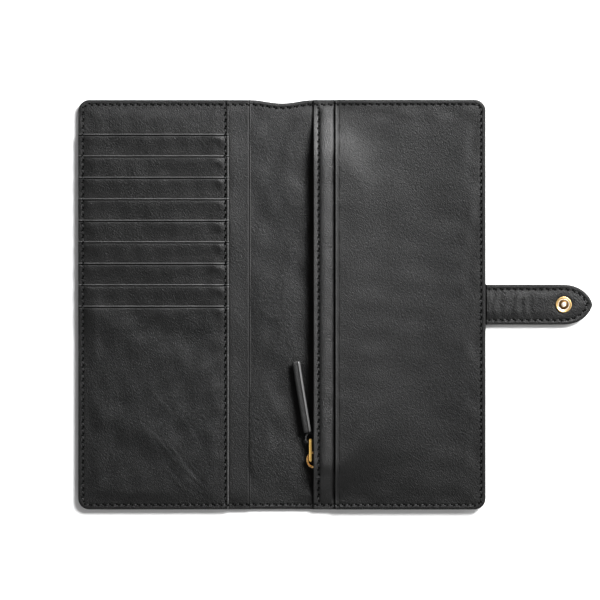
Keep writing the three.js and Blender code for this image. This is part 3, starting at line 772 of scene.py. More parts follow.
def stitches(name, places, surface, up=1):
    """Short lengths of thread, each one rising from a needle hole and diving into the next, with a plug of painted
    shade in each hole.

    places lists (x, y, direction) for the middle of each stitch; surface gives the leather's level,
    which every point of a stitch is lifted by; up is -1 for a seam on an underside."""
    rings, sides = 7, 6
    points, faces, shades = [], [], []
    for x, y, direction in places:
        heading = direction + STITCH_SLANT
        base = len(points)
        for ring in range(rings):
            t = 2 * ring / (rings - 1) - 1
            reach = t * STITCH_LENGTH / 2
            rise = up * (STITCH_RISE * (1 - t * t) - STITCH_DIVE * t ** 4)
            width = THREAD_RADIUS * math.sqrt(max(1 - t ** 6, 0.08))
            for side in range(sides):
                angle = 2 * math.pi * side / sides
                off = width * math.cos(angle)
                points.append((
                    x + reach * math.cos(heading) - off * math.sin(heading),
                    y + reach * math.sin(heading) + off * math.cos(heading),
                    rise + width * math.sin(angle) * 0.8,
                ))
        for ring in range(rings - 1):
            for side in range(sides):
                a = base + ring * sides + side
                b = base + ring * sides + (side + 1) % sides
                faces.append([a, a + sides, b + sides, b])
        faces.append([base + side for side in range(sides)])
        faces.append([base + (rings - 1) * sides + side for side in reversed(range(sides))])
        shades += [0] * (len(faces) - len(shades))
        for end in (-1, 1):
            hole_x = x + end * STITCH_LENGTH / 2 * math.cos(heading)
            hole_y = y + end * STITCH_LENGTH / 2 * math.sin(heading)
            add_hole_shade(points, faces, hole_x, hole_y, heading, up)
        shades += [1] * (len(faces) - len(shades))
    points = np.array(points)
    points[:, 2] += surface(points[:, 0], points[:, 1])
    return make_mesh(name, points, faces, [THREAD, HOLE_SHADE], shades, 80)


def edge_stitch_places(side):
    """The edge seam's stitches on one half, from the spine at the foot round to the head."""
    places = []
    for half in (-1, 1):
        for number in range(EDGE_STITCHES):
            run = (number + 0.5) * EDGE_PITCH
            x, y, direction = edge_seam_point(run)
            x, y, direction = side * x, half * y, direction if side > 0 else math.pi - direction
            if half < 0:
                direction = -direction
            if half > 0 and run > SIDE_RUN + CORNER_RUN:
                y -= HALF_HEIGHT - float(head_edge(x))
                if abs(x) < DIP_HALF_WIDTH:
                    slope = float(head_edge(x + 0.1) - head_edge(x - 0.1)) / 0.2
                    direction = math.atan(slope)
            places.append((x, y, direction))
    return places


def edge_seam_point(run):
    """The edge seam's x, y and direction at a run from the middle of the fore-edge upwards."""
    seam = FORE_EDGE - SEAM_INSET
    if run <= SIDE_RUN:
        return seam, run, math.pi / 2
    if run <= SIDE_RUN + CORNER_RUN:
        turn = (run - SIDE_RUN) / SEAM_CORNER
        return (
            FORE_EDGE - CORNER + SEAM_CORNER * math.cos(turn),
            SIDE_RUN + SEAM_CORNER * math.sin(turn),
            turn + math.pi / 2,
        )
    return HEAD_RUN - (run - SIDE_RUN - CORNER_RUN), HALF_HEIGHT - SEAM_INSET, math.pi


def straight_places(x, start, end):
    """Stitches up a straight seam at x; returns them with the pitch that fills it."""
    count = round((end - start) / STITCH_PITCH)
    even = (end - start) / count
    return [(x, start + (number + 0.5) * even, math.pi / 2) for number in range(count)], even


# ---- the covers and linings ----------------------------------------------------------------------


def cover_under(x, y):
    """The outer face: proud where the boards fill it, pressed in at the seam and the folds."""
    reach = rim_reach(x, y)
    seam = 0.16 * ridge(reach - SEAM_INSET, 1.0)
    seam = seam + ridge(reach - SEAM_INSET, 0.55) * 0.28 * needle_holes(seam_run(x, y), EDGE_PITCH)
    border = 0.12 * (1 - smooth((reach - 4.6) / 1.2))
    fold = 0.22 * ridge(np.abs(x) - FOLD_LINE, 1.1)
    wave = 0.05 * (1 + ripple(x, y, 34, 11)) * smooth((reach - 4) / 10)
    return 0.02 + seam + border + fold + wave + rolled(reach, 0.5)


def cover_top(x, y):
    """The cover's inner face, flat and a little rounded at its edge."""
    return COVER_TOP - rolled(rim_reach(x, y), 0.35)


BOARD_MARGIN = 1.2
BOARD_STEP = 0.6
BOARD_GAP = 0.08


def lining_under(x, y):
    """Flush with the cover along the seams, and hollowed over the three boards."""
    board_inset = HALF_HEIGHT - high("back_board")[1]
    inside = smooth((rim_reach(x, y) - board_inset + BOARD_MARGIN) / BOARD_STEP)
    halves = smooth((np.abs(x) - low("back_board")[0] + BOARD_MARGIN) / BOARD_STEP)
    spine = smooth((high("spine_board")[0] + BOARD_MARGIN - np.abs(x)) / BOARD_STEP)
    hollow = high("back_board")[2] + BOARD_GAP - LINING_UNDER
    return LINING_UNDER + hollow * inside * (halves + spine)


def lining_top(x, y):
    """The lining: soft and a little wavy, quilted down at the edge seam and at the folds."""
    reach = rim_reach(x, y)
    inside = smooth((reach - SEAM_INSET) / 7)
    soft = inside * (0.30 * ripple(x, y, 46, 3) + 0.10 * ripple(x, y, 15, 4) + 0.25)
    soft = soft * smooth((24 - np.abs(x)) / 6)
    border = 0.22 * np.sin(np.clip(reach / SEAM_INSET, 0, 1) * math.pi)
    dent = seam_dent(reach - SEAM_INSET, seam_run(x, y), EDGE_PITCH)
    return LINING_TOP + np.minimum(soft, 0.55) + border - dent - rolled(reach, 0.5)


PUNCH_REACH = 9
SOCKET_FLANGE = 0.35


def pierce(piece, centre, radius):
    """Punches a round hole right through a leather sheet."""
    sides = [(0, -PUNCH_REACH), (radius, -PUNCH_REACH), (radius, PUNCH_REACH), (0, PUNCH_REACH)]
    punch = turned("punch", sides, centre, HOLE_SHADE, 48)
    cut = piece.modifiers.new("punched", "BOOLEAN")
    cut.operation = "DIFFERENCE"
    cut.solver = "EXACT"
    cut.object = punch
    graph = bpy.context.evaluated_depsgraph_get()
    mesh = bpy.data.meshes.new_from_object(piece.evaluated_get(graph))
    piece.modifiers.clear()
    piece.data = mesh
    bpy.data.objects.remove(punch)


FOLD_STEPS = (-1.6, -1.1, -0.6, 0, 0.6, 1.1, 1.6)


def make_covers():
    """The outer cover and the lining of each half, and the stitches that show on the outside."""
    rows = full_height()
    for side, half, fold, bodies in (
        (-1, "front", FRONT_FOLD, ("spine", "front")),
        (1, "back", BACK_FOLD, ("back", "spine")),
    ):
        columns = half_stations(side, 0, (FOLD_LINE, FOLD_STEPS))
        start, end = (fold[0] * METRE, 0, 0), (fold[1] * METRE, 0, 0)
        cover = sheet(
            f"{half}_cover_leather", columns, rows, in_outline, cover_top, cover_under, COVER_LEATHER
        )
        lining = sheet(
            f"{half}_lining_leather", columns, rows, in_outline, lining_top, lining_under, LINING_LEATHER
        )
        if side < 0:
            pierce(cover, middle("snap_socket"), high("snap_socket")[1] - SOCKET_FLANGE)
        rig.blend(cover, *bodies, start=start, end=end)
        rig.blend(lining, *bodies, start=start, end=end)
        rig.replaces(cover, f"outer_cover_{half}")
        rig.replaces(lining, f"{half}_lining")
        if side < 0:
            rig.replaces(cover, "outer_cover_spine")
            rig.replaces(lining, "spine_lining")
        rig.slot(cover, "cover_leather")
        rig.slot(lining, "lining_leather")
        outside = stitches(f"{half}_outside_stitches", edge_stitch_places(side), cover_under, -1)
        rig.blend(outside, *bodies, start=start, end=end)
        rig.slot(outside, "thread")


# ---- the front pockets --------------------------------------------------------------------------


def card_swell(x, y):
    """How far all the card pockets' layers stand up together between their two side seams."""
    reach = rim_reach(x, y)
    seam = -x - CARD_SEAM
    inside = smooth((reach - SEAM_INSET) / 9) * smooth(seam / 9)
    border = np.sin(np.clip(reach / SEAM_INSET, 0, 1) * math.pi) * (0.10 + 0.05 * ripple(x, y, 7, 23))
    band = 0.20 * np.sin(np.clip((-x - CARD_EDGE) / (CARD_SEAM - CARD_EDGE), 0, 1) * math.pi)
    soft = 0.42 + 0.24 * ripple(x, y, 58, 21) + 0.10 * ripple(x, y, 17, 22)
    return inside * soft + border + band


def card_middle(x, y):
    """1 between the card pockets' two side seams and 0 on them."""
    return smooth((rim_reach(x, y) - SEAM_INSET) / 3) * smooth((-x - CARD_SEAM) / 3)


CORNER_GAP = 1.5
CARD_RUN_START = -HALF_HEIGHT + SEAM_INSET + CORNER_GAP
CARD_RUN_END = HALF_HEIGHT - SEAM_INSET - CORNER_GAP
CARD_STITCHES, CARD_PITCH = straight_places(-CARD_SEAM, CARD_RUN_START, CARD_RUN_END)
ZIP_STITCHES, ZIP_PITCH = straight_places(ZIP_SEAM, CARD_RUN_START, CARD_RUN_END)


def card_dents(x, y):
    """The dents of the two seams that hold the card pockets."""
    outer = seam_dent(rim_reach(x, y) - SEAM_INSET, seam_run(x, y), EDGE_PITCH)
    return outer + seam_dent(-x - CARD_SEAM, y - CARD_RUN_START, CARD_PITCH)


def pocket_level(x, y, mouth):
    """The slope of a pocket strip, from its mouth down to its tail."""
    drop = np.clip((mouth - y) / POCKET_LENGTH, 0, 1)
    return POCKET_TAIL + POCKET_RISE * (1 - drop)


def beside_seam(away, wide):
    """A ridge that is wide away from the seam and steep towards it."""
    return ridge(np.maximum(away, 0) + 2.2 * np.minimum(away, 0), wide)


def pucker(x, y, mouth, seed):
    """Leather drawn up beside the seam, just under a pocket's mouth."""
    chance = np.random.default_rng(seed)
    tall, wide = chance.uniform(0.36, 0.62), chance.uniform(4.0, 6.5)
    away = -x - CARD_SEAM - 3.2
    below = mouth - y - chance.uniform(3.4, 4.8)
    right = tall * beside_seam(away, wide) * ridge(below + away * 0.3, 3.0)
    left = 0.12 * ridge(FORE_EDGE + x - 7.5, 3.5) * ridge(below, 2.8)
    return right + left


# The slack wrinkles of the passport pocket: middle x and y, half length, direction in degrees, depth.
SLACK_WRINKLES = (
    (-73, -92, 20, -47, 0.13),
    (-60, -104, 26, -50, 0.15),
    (-66, -112, 15, -50, 0.10),
    (-76, -62, 13, -56, 0.08),
    (-52, -118, 12, -46, 0.10),
    (-84, -84, 9, -58, 0.07),
    (-57, -82, 14, -57, 0.07),
)


def wrinkles(x, y):
    """A few long, slack wrinkles that run down across the passport pocket."""
    total = 0 * x
    for number, (centre_x, centre_y, length, turn, depth) in enumerate(SLACK_WRINKLES):
        heading = math.radians(turn)
        along = (x - centre_x) * math.cos(heading) + (y - centre_y) * math.sin(heading)
        across = -(x - centre_x) * math.sin(heading) + (y - centre_y) * math.cos(heading)
        across = across + 0.5 * np.sin(along / 5.5 + number)
        profile = ridge(across, 0.85) - 0.8 * ridge(across - 1.5, 0.9)
        total = total + depth * smooth(1.3 - np.abs(along) / length) * profile
    return total


SIDE_LIP = 1.0
SIDE_PARED = 0.10
CUT_LINE = 0.35
MOUTH_ROLL = 0.16


def side_roll(x, y):
    """How far the card pockets' free side and outer rim are pared and rounded down."""
    inset = -x - CARD_EDGE
    pared = SIDE_PARED * (1 - np.clip(inset / SIDE_LIP, 0, 1)) ** PARED_CURVE
    return pared + rolled(inset, 0.3) + rolled(rim_reach(x, y), 0.35)


def side_worked(x, mouth_work):
    """The painted shade of a dark line along the free side's cut edge, then its pared lip with a painted highlight."""
    inset = -x - CARD_EDGE
    return np.where(inset < CUT_LINE, SHADE_LINE, np.where(inset < SIDE_LIP, BURNISH_AND_HIGHLIGHT, mouth_work))


def front_stations(inner, *details):
    """Stations from the front's fore-edge to a sheet's inner edge, as x."""
    fore = (-FORE_EDGE, (*RIM_STEPS, *corner_stations()))
    seam = (-FORE_EDGE + SEAM_INSET, SEAM_STEPS)
    return stations(-FORE_EDGE, inner, GRID_STEP, fore, seam, *details)


def card_columns():
    return front_stations(-CARD_EDGE, (-CARD_SEAM, SEAM_STEPS), back_from(-CARD_EDGE, RIM_STEPS))


# The seams dent the backing only in the band that shows above the first pocket.
BAND_FOOT = 105
BAND_UNDER = 100


def make_card_backing():
    """The panel behind the card pockets, whose top band shows above them."""
    backing_low, backing_high = low("card_panel_backing")[2], high("card_panel_backing")[2]

    def top(x, y):
        return backing_high + card_swell(x, y) - card_dents(x, y) * (y > BAND_FOOT) - side_roll(x, y)

    def under(x, y):
        return backing_low + card_swell(x, y) * 0.6 * (y < BAND_UNDER)

    backing = sheet(
        "card_backing_leather", card_columns(), full_height(), in_outline, top, under, POCKET_LEATHER
    )
    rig.ride(backing, "front")
    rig.replaces(backing, "card_panel_backing")
    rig.slot(backing, "pocket_leather")


def make_pocket(name, node, rows, place, own):
    """One pocket leather over its slope; own(x, y) is the shape that it has beyond the others."""
    mouth = high(node)[1]

    def top(x, y):
        level = under(x, y) + POCKET_THICKNESS + own(x, y)
        mouth_edge = rolled(mouth - y, MOUTH_ROLL) + creased_edge(mouth - y)
        return level - card_dents(x, y) - mouth_edge - side_roll(x, y)

    def under(x, y):
        return pocket_level(x, y, mouth) + card_swell(x, y)

    def worked(x, y):
        return side_worked(x, worked_mouth(mouth - y))

    pocket = sheet(
        name, card_columns(), rows, place, top, under, POCKET_LEATHER, worked=worked, lip=CARD_LIP_HIGHLIGHT
    )
    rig.ride(pocket, "front")
    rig.replaces(pocket, node)
    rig.slot(pocket, "pocket_leather")


CARD_CROWN = (0.30, 9.6)
PASSPORT_CROWN = (0.40, 30.0)
PUCKER_SEEDS = 40


def make_card_pockets():
    """The eight card pocket strips, laid over each other like shingles."""
    for number in range(1, CARD_POCKETS + 1):
        node = f"card_pocket_{number}"
        mouth, tail = high(node)[1], low(node)[1]
        rows = stations(
            tail, mouth, GRID_STEP, back_from(mouth, (*RIM_STEPS, *CREASE_STEPS)), (tail, RIM_STEPS)
        )

        def own(x, y):
            gathered = pucker(x, y, mouth, PUCKER_SEEDS + number)
            return crown(mouth - y, *CARD_CROWN) * card_middle(x, y) + gathered

        make_pocket(f"card_pocket_leather_{number}", node, rows, as_is, own)


SIDE_PUCKERS = 7
SIDE_PUCKER_PITCH = 15.5


def side_puckers(x, y, mouth):
    """Small puckers down the passport pocket's free side, below the one at its mouth."""
    total = pucker(x, y, mouth, 60)
    away = -x - CARD_SEAM - 3.0
    for number in range(1, SIDE_PUCKERS + 1):
        chance = np.random.default_rng(70 + number)
        place = mouth - 6 - number * SIDE_PUCKER_PITCH + chance.uniform(-3, 3)
        tall = chance.uniform(0.10, 0.30)
        total = total + tall * beside_seam(away, 4.5) * ridge(y - place + 0.4 * away, 3.4)
    return total


def make_passport_pocket():
    """The large pocket below the card pockets, a little slack and wrinkled."""
    mouth = high("passport_pocket_panel")[1]
    rows = stations(
        -HALF_HEIGHT, mouth, GRID_STEP, back_from(mouth, (*RIM_STEPS, *CREASE_STEPS)),
        (-HALF_HEIGHT, RIM_STEPS), (-HALF_HEIGHT + SEAM_INSET, SEAM_STEPS),
    )

    def own(x, y):
        slack = smooth((rim_reach(x, y) - 6) / 12) * smooth((-x - CARD_SEAM - 3) / 12)
        slack = slack * (0.12 * ripple(x, y, 24, 31) + wrinkles(x, y) + 0.10)
        crowned = crown(mouth - y, *PASSPORT_CROWN) * card_middle(x, y)
        return side_puckers(x, y, mouth) + slack + crowned

    make_pocket("passport_pocket_leather", "passport_pocket_panel", rows, in_outline, own)


def make_long_pocket():
    """The long slip pocket under the card pockets; returns the level of its top."""
    columns = front_stations(-LONG_EDGE, back_from(-LONG_EDGE, (*RIM_STEPS, *CREASE_STEPS)))
    under_level, top_level = low("long_pocket_panel")[2], high("long_pocket_panel")[2]

    def shown(x):
        return smooth((x + CARD_EDGE + 4) / 4)

    def top(x, y):
        reach = rim_reach(x, y)
        soft = smooth((reach - SEAM_INSET) / 9) * (0.16 + 0.14 * ripple(x, y, 40, 51))
        dent = seam_dent(reach - SEAM_INSET, seam_run(x, y), EDGE_PITCH)
        mouth = -x - LONG_EDGE
        edge = rolled(mouth, 0.2) + creased_edge(mouth, 0.34, 0.3)
        sloped = 0.55 * smooth(mouth / 15) * smooth((reach - SEAM_INSET) / 5)
        return top_level + shown(x) * (soft + sloped - dent - edge) - rolled(reach, 0.3)

    def under(x, y):
        reach = rim_reach(x, y)
        lift = lining_top(x, y) - LINING_TOP
        return under_level + np.where(reach > SEAM_INSET, np.maximum(lift, 0), 0) * shown(x) * 0.9

    def top_clear(x, y):
        return np.maximum(top(x, y), under(x, y) + 0.35)

    panel = sheet(
        "long_pocket_leather", columns, full_height(), in_outline, top_clear, under, POCKET_LEATHER
    )
    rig.ride(panel, "front")
    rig.replaces(panel, "long_pocket_panel")
    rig.slot(panel, "pocket_leather")
    return top_clear


def front_surface(long_top):
    """The level of whatever layer is uppermost on the front half."""
    mouths = [high(f"card_pocket_{number}")[1] for number in range(1, CARD_POCKETS + 1)]
    mouths.append(high("passport_pocket_panel")[1])
    backing_high = high("card_panel_backing")[2]

    def level(x, y):
        found = lining_top(x, y)
        found = np.where(-x > LONG_EDGE, long_top(x, y), found)
        cards = backing_high + card_swell(x, y) - card_dents(x, y)
        for mouth in mouths:
            slope = pocket_level(x, y, mouth) + POCKET_THICKNESS + card_swell(x, y) - card_dents(x, y)
            cards = np.where(y < mouth, slope, cards)
        return np.where(-x > CARD_EDGE, cards, found)

    return level


# ---- the back pockets -----------------------------------------------------------------------------


def ease_down(value, start, end):
    """1 at the start of a run, 0 at its end and level at both."""
    return (1 + np.cos(math.pi * np.clip((value - start) / (end - start), 0, 1))) / 2


def settle(value, start, end):
    """1 at the start of a run and 0 at its end, without a sudden bend at either."""
    share = np.clip((value - start) / (end - start), 0, 1)
    return 1 - share ** 3 * (10 - 15 * share + 6 * share ** 2)


def bow(x, y):
    """The zip pocket's rise: 1 along the zip, down to 0 at the head, foot and fore-edge."""
    away = 1 - ease_down(x, BOW_EASE_START, BOW_EASE_START + BOW_EASE_LENGTH)
    flat = np.where(y > 0, BOW_FLAT_HEAD, BOW_FLAT_FOOT) - BOW_EASE * away
    return settle(np.abs(y), flat, BOW_FOOT) * ease_down(x, BOW_START, BOW_END) ** 2


def back_soft(x, y):
    """Softness shared by the two layers over the zip pocket, so that they stay nested."""
    reach = rim_reach(x, y)
    inside = smooth((reach - SEAM_INSET) / 12) * smooth((x - SLIP_EDGE + 6) / 14)
    return inside * (0.30 + 0.20 * ripple(x, y, 70, 61) + 0.08 * ripple(x, y, 22, 62))


def zip_panel_under(x, y):
    """The zip pocket's front, raised over the zip."""
    return ZIP_BASE + BOW_RISE * bow(x, y) + back_soft(x, y)


def zip_panel_top(x, y):
    """Turned over at the zip, puffed up past its seam and tucked in under the slip pocket."""
    reach = rim_reach(x, y)
    dent = seam_dent(reach - SEAM_INSET, seam_run(x, y), EDGE_PITCH)
    dent = dent + seam_dent(x - ZIP_SEAM, y - CARD_RUN_START, ZIP_PITCH) * smooth((reach - 3.5) / 1.5)
    before_seam = np.clip((x - ZIP_EDGE) / (ZIP_SEAM - ZIP_EDGE), 0, 1)
    turned_edge = 0.75 * (1 - before_seam) ** 0.8
    past_seam = np.clip((x - ZIP_SEAM) / (SLIP_EDGE + 1 - ZIP_SEAM), 0, 1)
    puff = 0.95 * np.sin(past_seam ** 0.55 * math.pi) ** 1.2
    tucked = 0.75 * smooth((x - SLIP_EDGE + 1.7) / 1.0)
    shown = 1 - smooth((x - SLIP_EDGE - 1) / 3)
    waves = 0.07 * ripple(x, y, 13, 71) * smooth((x - ZIP_SEAM - 1) / 3)
    own = (turned_edge + puff + waves - tucked) * smooth((reach - SEAM_INSET) / 6) - dent
    edge = rolled(x - ZIP_EDGE, 0.6) + rolled(reach, 0.35)
    return zip_panel_under(x, y) + ZIP_THICKNESS + own * shown - edge


def slip_panel_under(x, y):
    """The slip pocket lies on the zip pocket's front all over."""
    return zip_panel_under(x, y) + (SLIP_BASE - ZIP_BASE)


def slip_panel_top(x, y):
    """Rounded at its mouth, with a broken hot crease beside it and drawn in at the corners."""
    reach = rim_reach(x, y)
    dent = seam_dent(reach - SEAM_INSET, seam_run(x, y), EDGE_PITCH)
    border = 0.22 * np.sin(np.clip(reach / SEAM_INSET, 0, 1) * math.pi)
    mouth = x - SLIP_EDGE
    broken = 0.10 + 0.14 * smooth(0.5 + ripple(x * 0, y, 9, 83))
    edge = rolled(mouth, 0.4) - 0.45 * np.exp(-mouth / 1.6) + broken * ridge(mouth - 2.3, 0.26)
    corner_pull = 0.20 * ridge(reach - 8, 4) * ripple(x, y, 19, 81)
    lift = 0.25 * ridge(mouth, 4.0) * smooth((reach - SEAM_INSET) / 8)
    own = border + corner_pull + lift - dent - edge - rolled(reach, 0.4)
    return slip_panel_under(x, y) + SLIP_THICKNESS + own


SLIP_CREASE_STEPS = (0.8, 1.0, 1.2, 1.5, 1.8, 2.0, 2.15, 2.3, 2.45, 2.6, 2.9)
# The widths of the lips that take the lighter lip leather, a painted highlight.
ZIP_LIP = 1.9
SLIP_LIP = 1.2


def make_back_pockets():
    """The zip pocket's front and the slip pocket on top of it."""
    zip_columns = half_stations(1, ZIP_EDGE, (ZIP_SEAM, SEAM_STEPS), (ZIP_EDGE, (0.8, 1.1)))
    slip_columns = half_stations(1, SLIP_EDGE, (SLIP_EDGE, SLIP_CREASE_STEPS))
    for name, node, columns, top, under, lip_end, leather in (
        ("zip_pocket_leather", "zip_pocket_panel", zip_columns, zip_panel_top, zip_panel_under,
         ZIP_EDGE + ZIP_LIP, ZIP_LEATHER),
        ("slip_pocket_leather", "slip_pocket_panel", slip_columns, slip_panel_top, slip_panel_under,
         SLIP_EDGE + SLIP_LIP, SLIP_LEATHER),
    ):
        # The lip beside each mouth takes the lighter lip leather, a painted highlight.
        def worked(x, y):
            return np.where(x < lip_end, BURNISH_AND_HIGHLIGHT, PLAIN)

        panel = sheet(
            name, columns, full_height(), in_outline, top, under, leather, worked=worked, lip=BACK_LIP_HIGHLIGHT
        )
        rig.ride(panel, "back")
        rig.replaces(panel, node)
        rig.slot(panel, "pocket_leather")


def back_surface(x, y):
    """The level of whatever layer is uppermost on the back half."""
    found = np.where(x > ZIP_EDGE, zip_panel_top(x, y), lining_top(x, y))
    return np.where(x > SLIP_EDGE, slip_panel_top(x, y), found)


def make_inside_stitches(front_level):
    """The seams that show inside: round both halves, down the card pockets and along the zip."""
    front = stitches("front_edge_stitches", edge_stitch_places(-1), front_level)
    back = stitches("back_edge_stitches", edge_stitch_places(1), back_surface)
    cards = stitches("card_panel_stitches", CARD_STITCHES, front_level)
    panel = stitches("zip_panel_stitches", ZIP_STITCHES, back_surface)
    for seam, bodies, fold in (
        (front, ("spine", "front"), FRONT_FOLD),
        (back, ("back", "spine"), BACK_FOLD),
    ):
        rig.blend(seam, *bodies, start=(fold[0] * METRE, 0, 0), end=(fold[1] * METRE, 0, 0))
    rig.ride(cards, "front")
    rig.ride(panel, "back")
    for seam, nodes in (
        (front, ("front_edge_thread", "spine_head_thread")),
        (back, ("back_edge_thread", "spine_foot_thread")),
        (cards, ("card_panel_thread",)),
        (panel, ("zip_panel_thread",)),
    ):
        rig.replaces(seam, *nodes)
        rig.slot(seam, "thread")


# ---- the strap ---------------------------------------------------------------------------------------


STUD_X = middle("snap_stud")[0]
STRAP_RUN = STRAP_TAPER - STRAP_JOIN
STRAP_STITCHES = round(STRAP_RUN / STITCH_PITCH)
STRAP_PITCH = STRAP_RUN / STRAP_STITCHES
STRAP_SHOULDER = 2.4
STRAP_POINT = 0.66


def strap_half_width(x, full=STRAP_HALF_WIDTH, end=STRAP_END):
    """Half the strap's width at x, straight and then tapered to its rounded point at the end."""
    share = np.clip((x - STRAP_TAPER) / (end - STRAP_TAPER), 0, 1)
    return full * (1 - share ** STRAP_SHOULDER) ** STRAP_POINT


def in_strap(x, share):
    """Spreads grid points over the strap's width."""
    return x, share * strap_half_width(x)


SLOPE_STEP = 0.05


def strap_reach(x, y):
    """How far a point lies inside the strap's outline."""
    slope = (strap_half_width(x + SLOPE_STEP) - strap_half_width(x - SLOPE_STEP)) / (2 * SLOPE_STEP)
    return (strap_half_width(x) - np.abs(y)) / np.sqrt(1 + slope ** 2)


WRINKLE_PITCH = 6.4


def strap_root_wrinkles(x, y):
    """Folds across the strap where it has been bent again and again."""
    fade = smooth((x - 131) / 3) * (1 - smooth((x - 148) / 16))
    strayed = x + 0.8 * ripple(x, y, 18, 91)
    bands = np.sin(strayed * 2 * math.pi / WRINKLE_PITCH) + 0.6 * ripple(x, y * 0.35, 7.5, 92)
    return 0.14 * fade * bands * (0.75 + 0.35 * ripple(x, y, 20, 94))


def strap_top(x, y):
    """The side that faces up while the strap is open: puffed, wrinkled and drawn in round the stud."""
    reach = strap_reach(x, y)
    inside = smooth((reach - SEAM_INSET + 0.6) / 6.5)
    border = 0.14 * np.sin(np.clip(reach / SEAM_INSET, 0, 1) * math.pi)
    from_stud = np.hypot(x - STUD_X, y)
    drawn_in = 0.175 * ridge(from_stud - 5.4, 1.6) * (from_stud < 9)
    puff = inside * (0.42 + 0.10 * ripple(x, y, 16, 93) + strap_root_wrinkles(x, y)) - drawn_in
    flat = 1 - smooth((6.0 - from_stud) / 1.6)
    dent = seam_dent(reach - SEAM_INSET, x - STRAP_JOIN, STRAP_PITCH, 0.26)
    return STRAP_INNER_LEVELS[1] - 0.25 + puff * flat + border - dent - rolled(reach, 0.5)


def strap_middle(x, y):
    """Where the strap's two leathers meet."""
    return STRAP_LEVELS[1] + 0.05 + 0 * x


def strap_under(x, y):
    """The side that faces down while the strap is open."""
    reach = strap_reach(x, y)
    inside = smooth((reach - SEAM_INSET) / 3)
    dent = seam_dent(reach - SEAM_INSET, x - STRAP_JOIN, STRAP_PITCH, 0.22)
    return STRAP_LEVELS[0] + 0.25 - 0.2 * inside + dent + rolled(reach, 0.5)


def root_neck(x):
    """0 inside the wallet, where the strap is pared thin, and 1 once it is clear of the edge."""
    return smooth((x - FORE_EDGE - 0.1) / 0.7)


SEAM_POINT = STRAP_END - SEAM_INSET - 0.6
LOOK_AHEAD = 0.3


def strap_stitch_places():
    """The root's two stitches, and the tip's up both sides to the point."""
    seam_width = STRAP_HALF_WIDTH - SEAM_INSET
    straight = np.linspace(STRAP_JOIN, STRAP_TAPER, 60)
    along = np.concatenate([straight, np.linspace(STRAP_TAPER, SEAM_POINT, 240)[1:]])
    across = strap_half_width(along, seam_width, SEAM_POINT)
    run = np.concatenate([[0], np.cumsum(np.hypot(np.diff(along), np.diff(across)))])

    def seam_at(spot):
        return float(np.interp(spot, run, along)), float(np.interp(spot, run, across))

    count = round(run[-1] / STRAP_PITCH)
    tip = []
    for number in range(count):
        spot = (number + 0.5) * run[-1] / count
        x, y = seam_at(spot)
        (back_x, back_y), (next_x, next_y) = seam_at(spot - LOOK_AHEAD), seam_at(spot + LOOK_AHEAD)
        heading = math.atan2(next_y - back_y, next_x - back_x)
        tip += [(x, y, heading), (x, -y, -heading)]
    root = [(STRAP_JOIN - STRAP_PITCH / 2, side * seam_width, 0.0) for side in (-1, 1)]
    return root, tip


# The pared levels of the strap's root where it enters the wallet, and the gap between its leathers.
ROOT_PARED_UNDER = 1.25
ROOT_PARED_MIDDLE = 1.85
ROOT_PARED_TOP = 2.6
LEATHER_GAP = 0.04
STRAP_RIM = (0, 0.07, 0.18, 0.35, 0.6, 2.5, 2.75, 3, 3.25, 3.5)
ROOT_STEP = 0.35
TIP_STEP = 0.5


def root_outer_top(x, y):
    return ROOT_PARED_MIDDLE + (strap_middle(x, y) - ROOT_PARED_MIDDLE) * root_neck(x)


def root_outer_under(x, y):
    return ROOT_PARED_UNDER + (strap_under(x, y) - ROOT_PARED_UNDER) * root_neck(x)


def root_inner_under(x, y):
    return root_outer_top(x, y) + LEATHER_GAP


def root_inner_top(x, y):
    level = ROOT_PARED_TOP + (strap_top(x, y) - ROOT_PARED_TOP) * root_neck(x)
    return np.maximum(level, root_inner_under(x, y) + 0.2)


def tip_inner_under(x, y):
    return strap_middle(x, y) + LEATHER_GAP


def strap_shares():
    """Places across the strap from -1 to 1, closer beside its edges and seams."""
    rim = [1 - offset / STRAP_HALF_WIDTH for offset in STRAP_RIM]
    shares = [*np.linspace(-1, 1, 61), *rim, *[-share for share in rim]]
    return np.array(sorted({round(share, 5) for share in shares}))


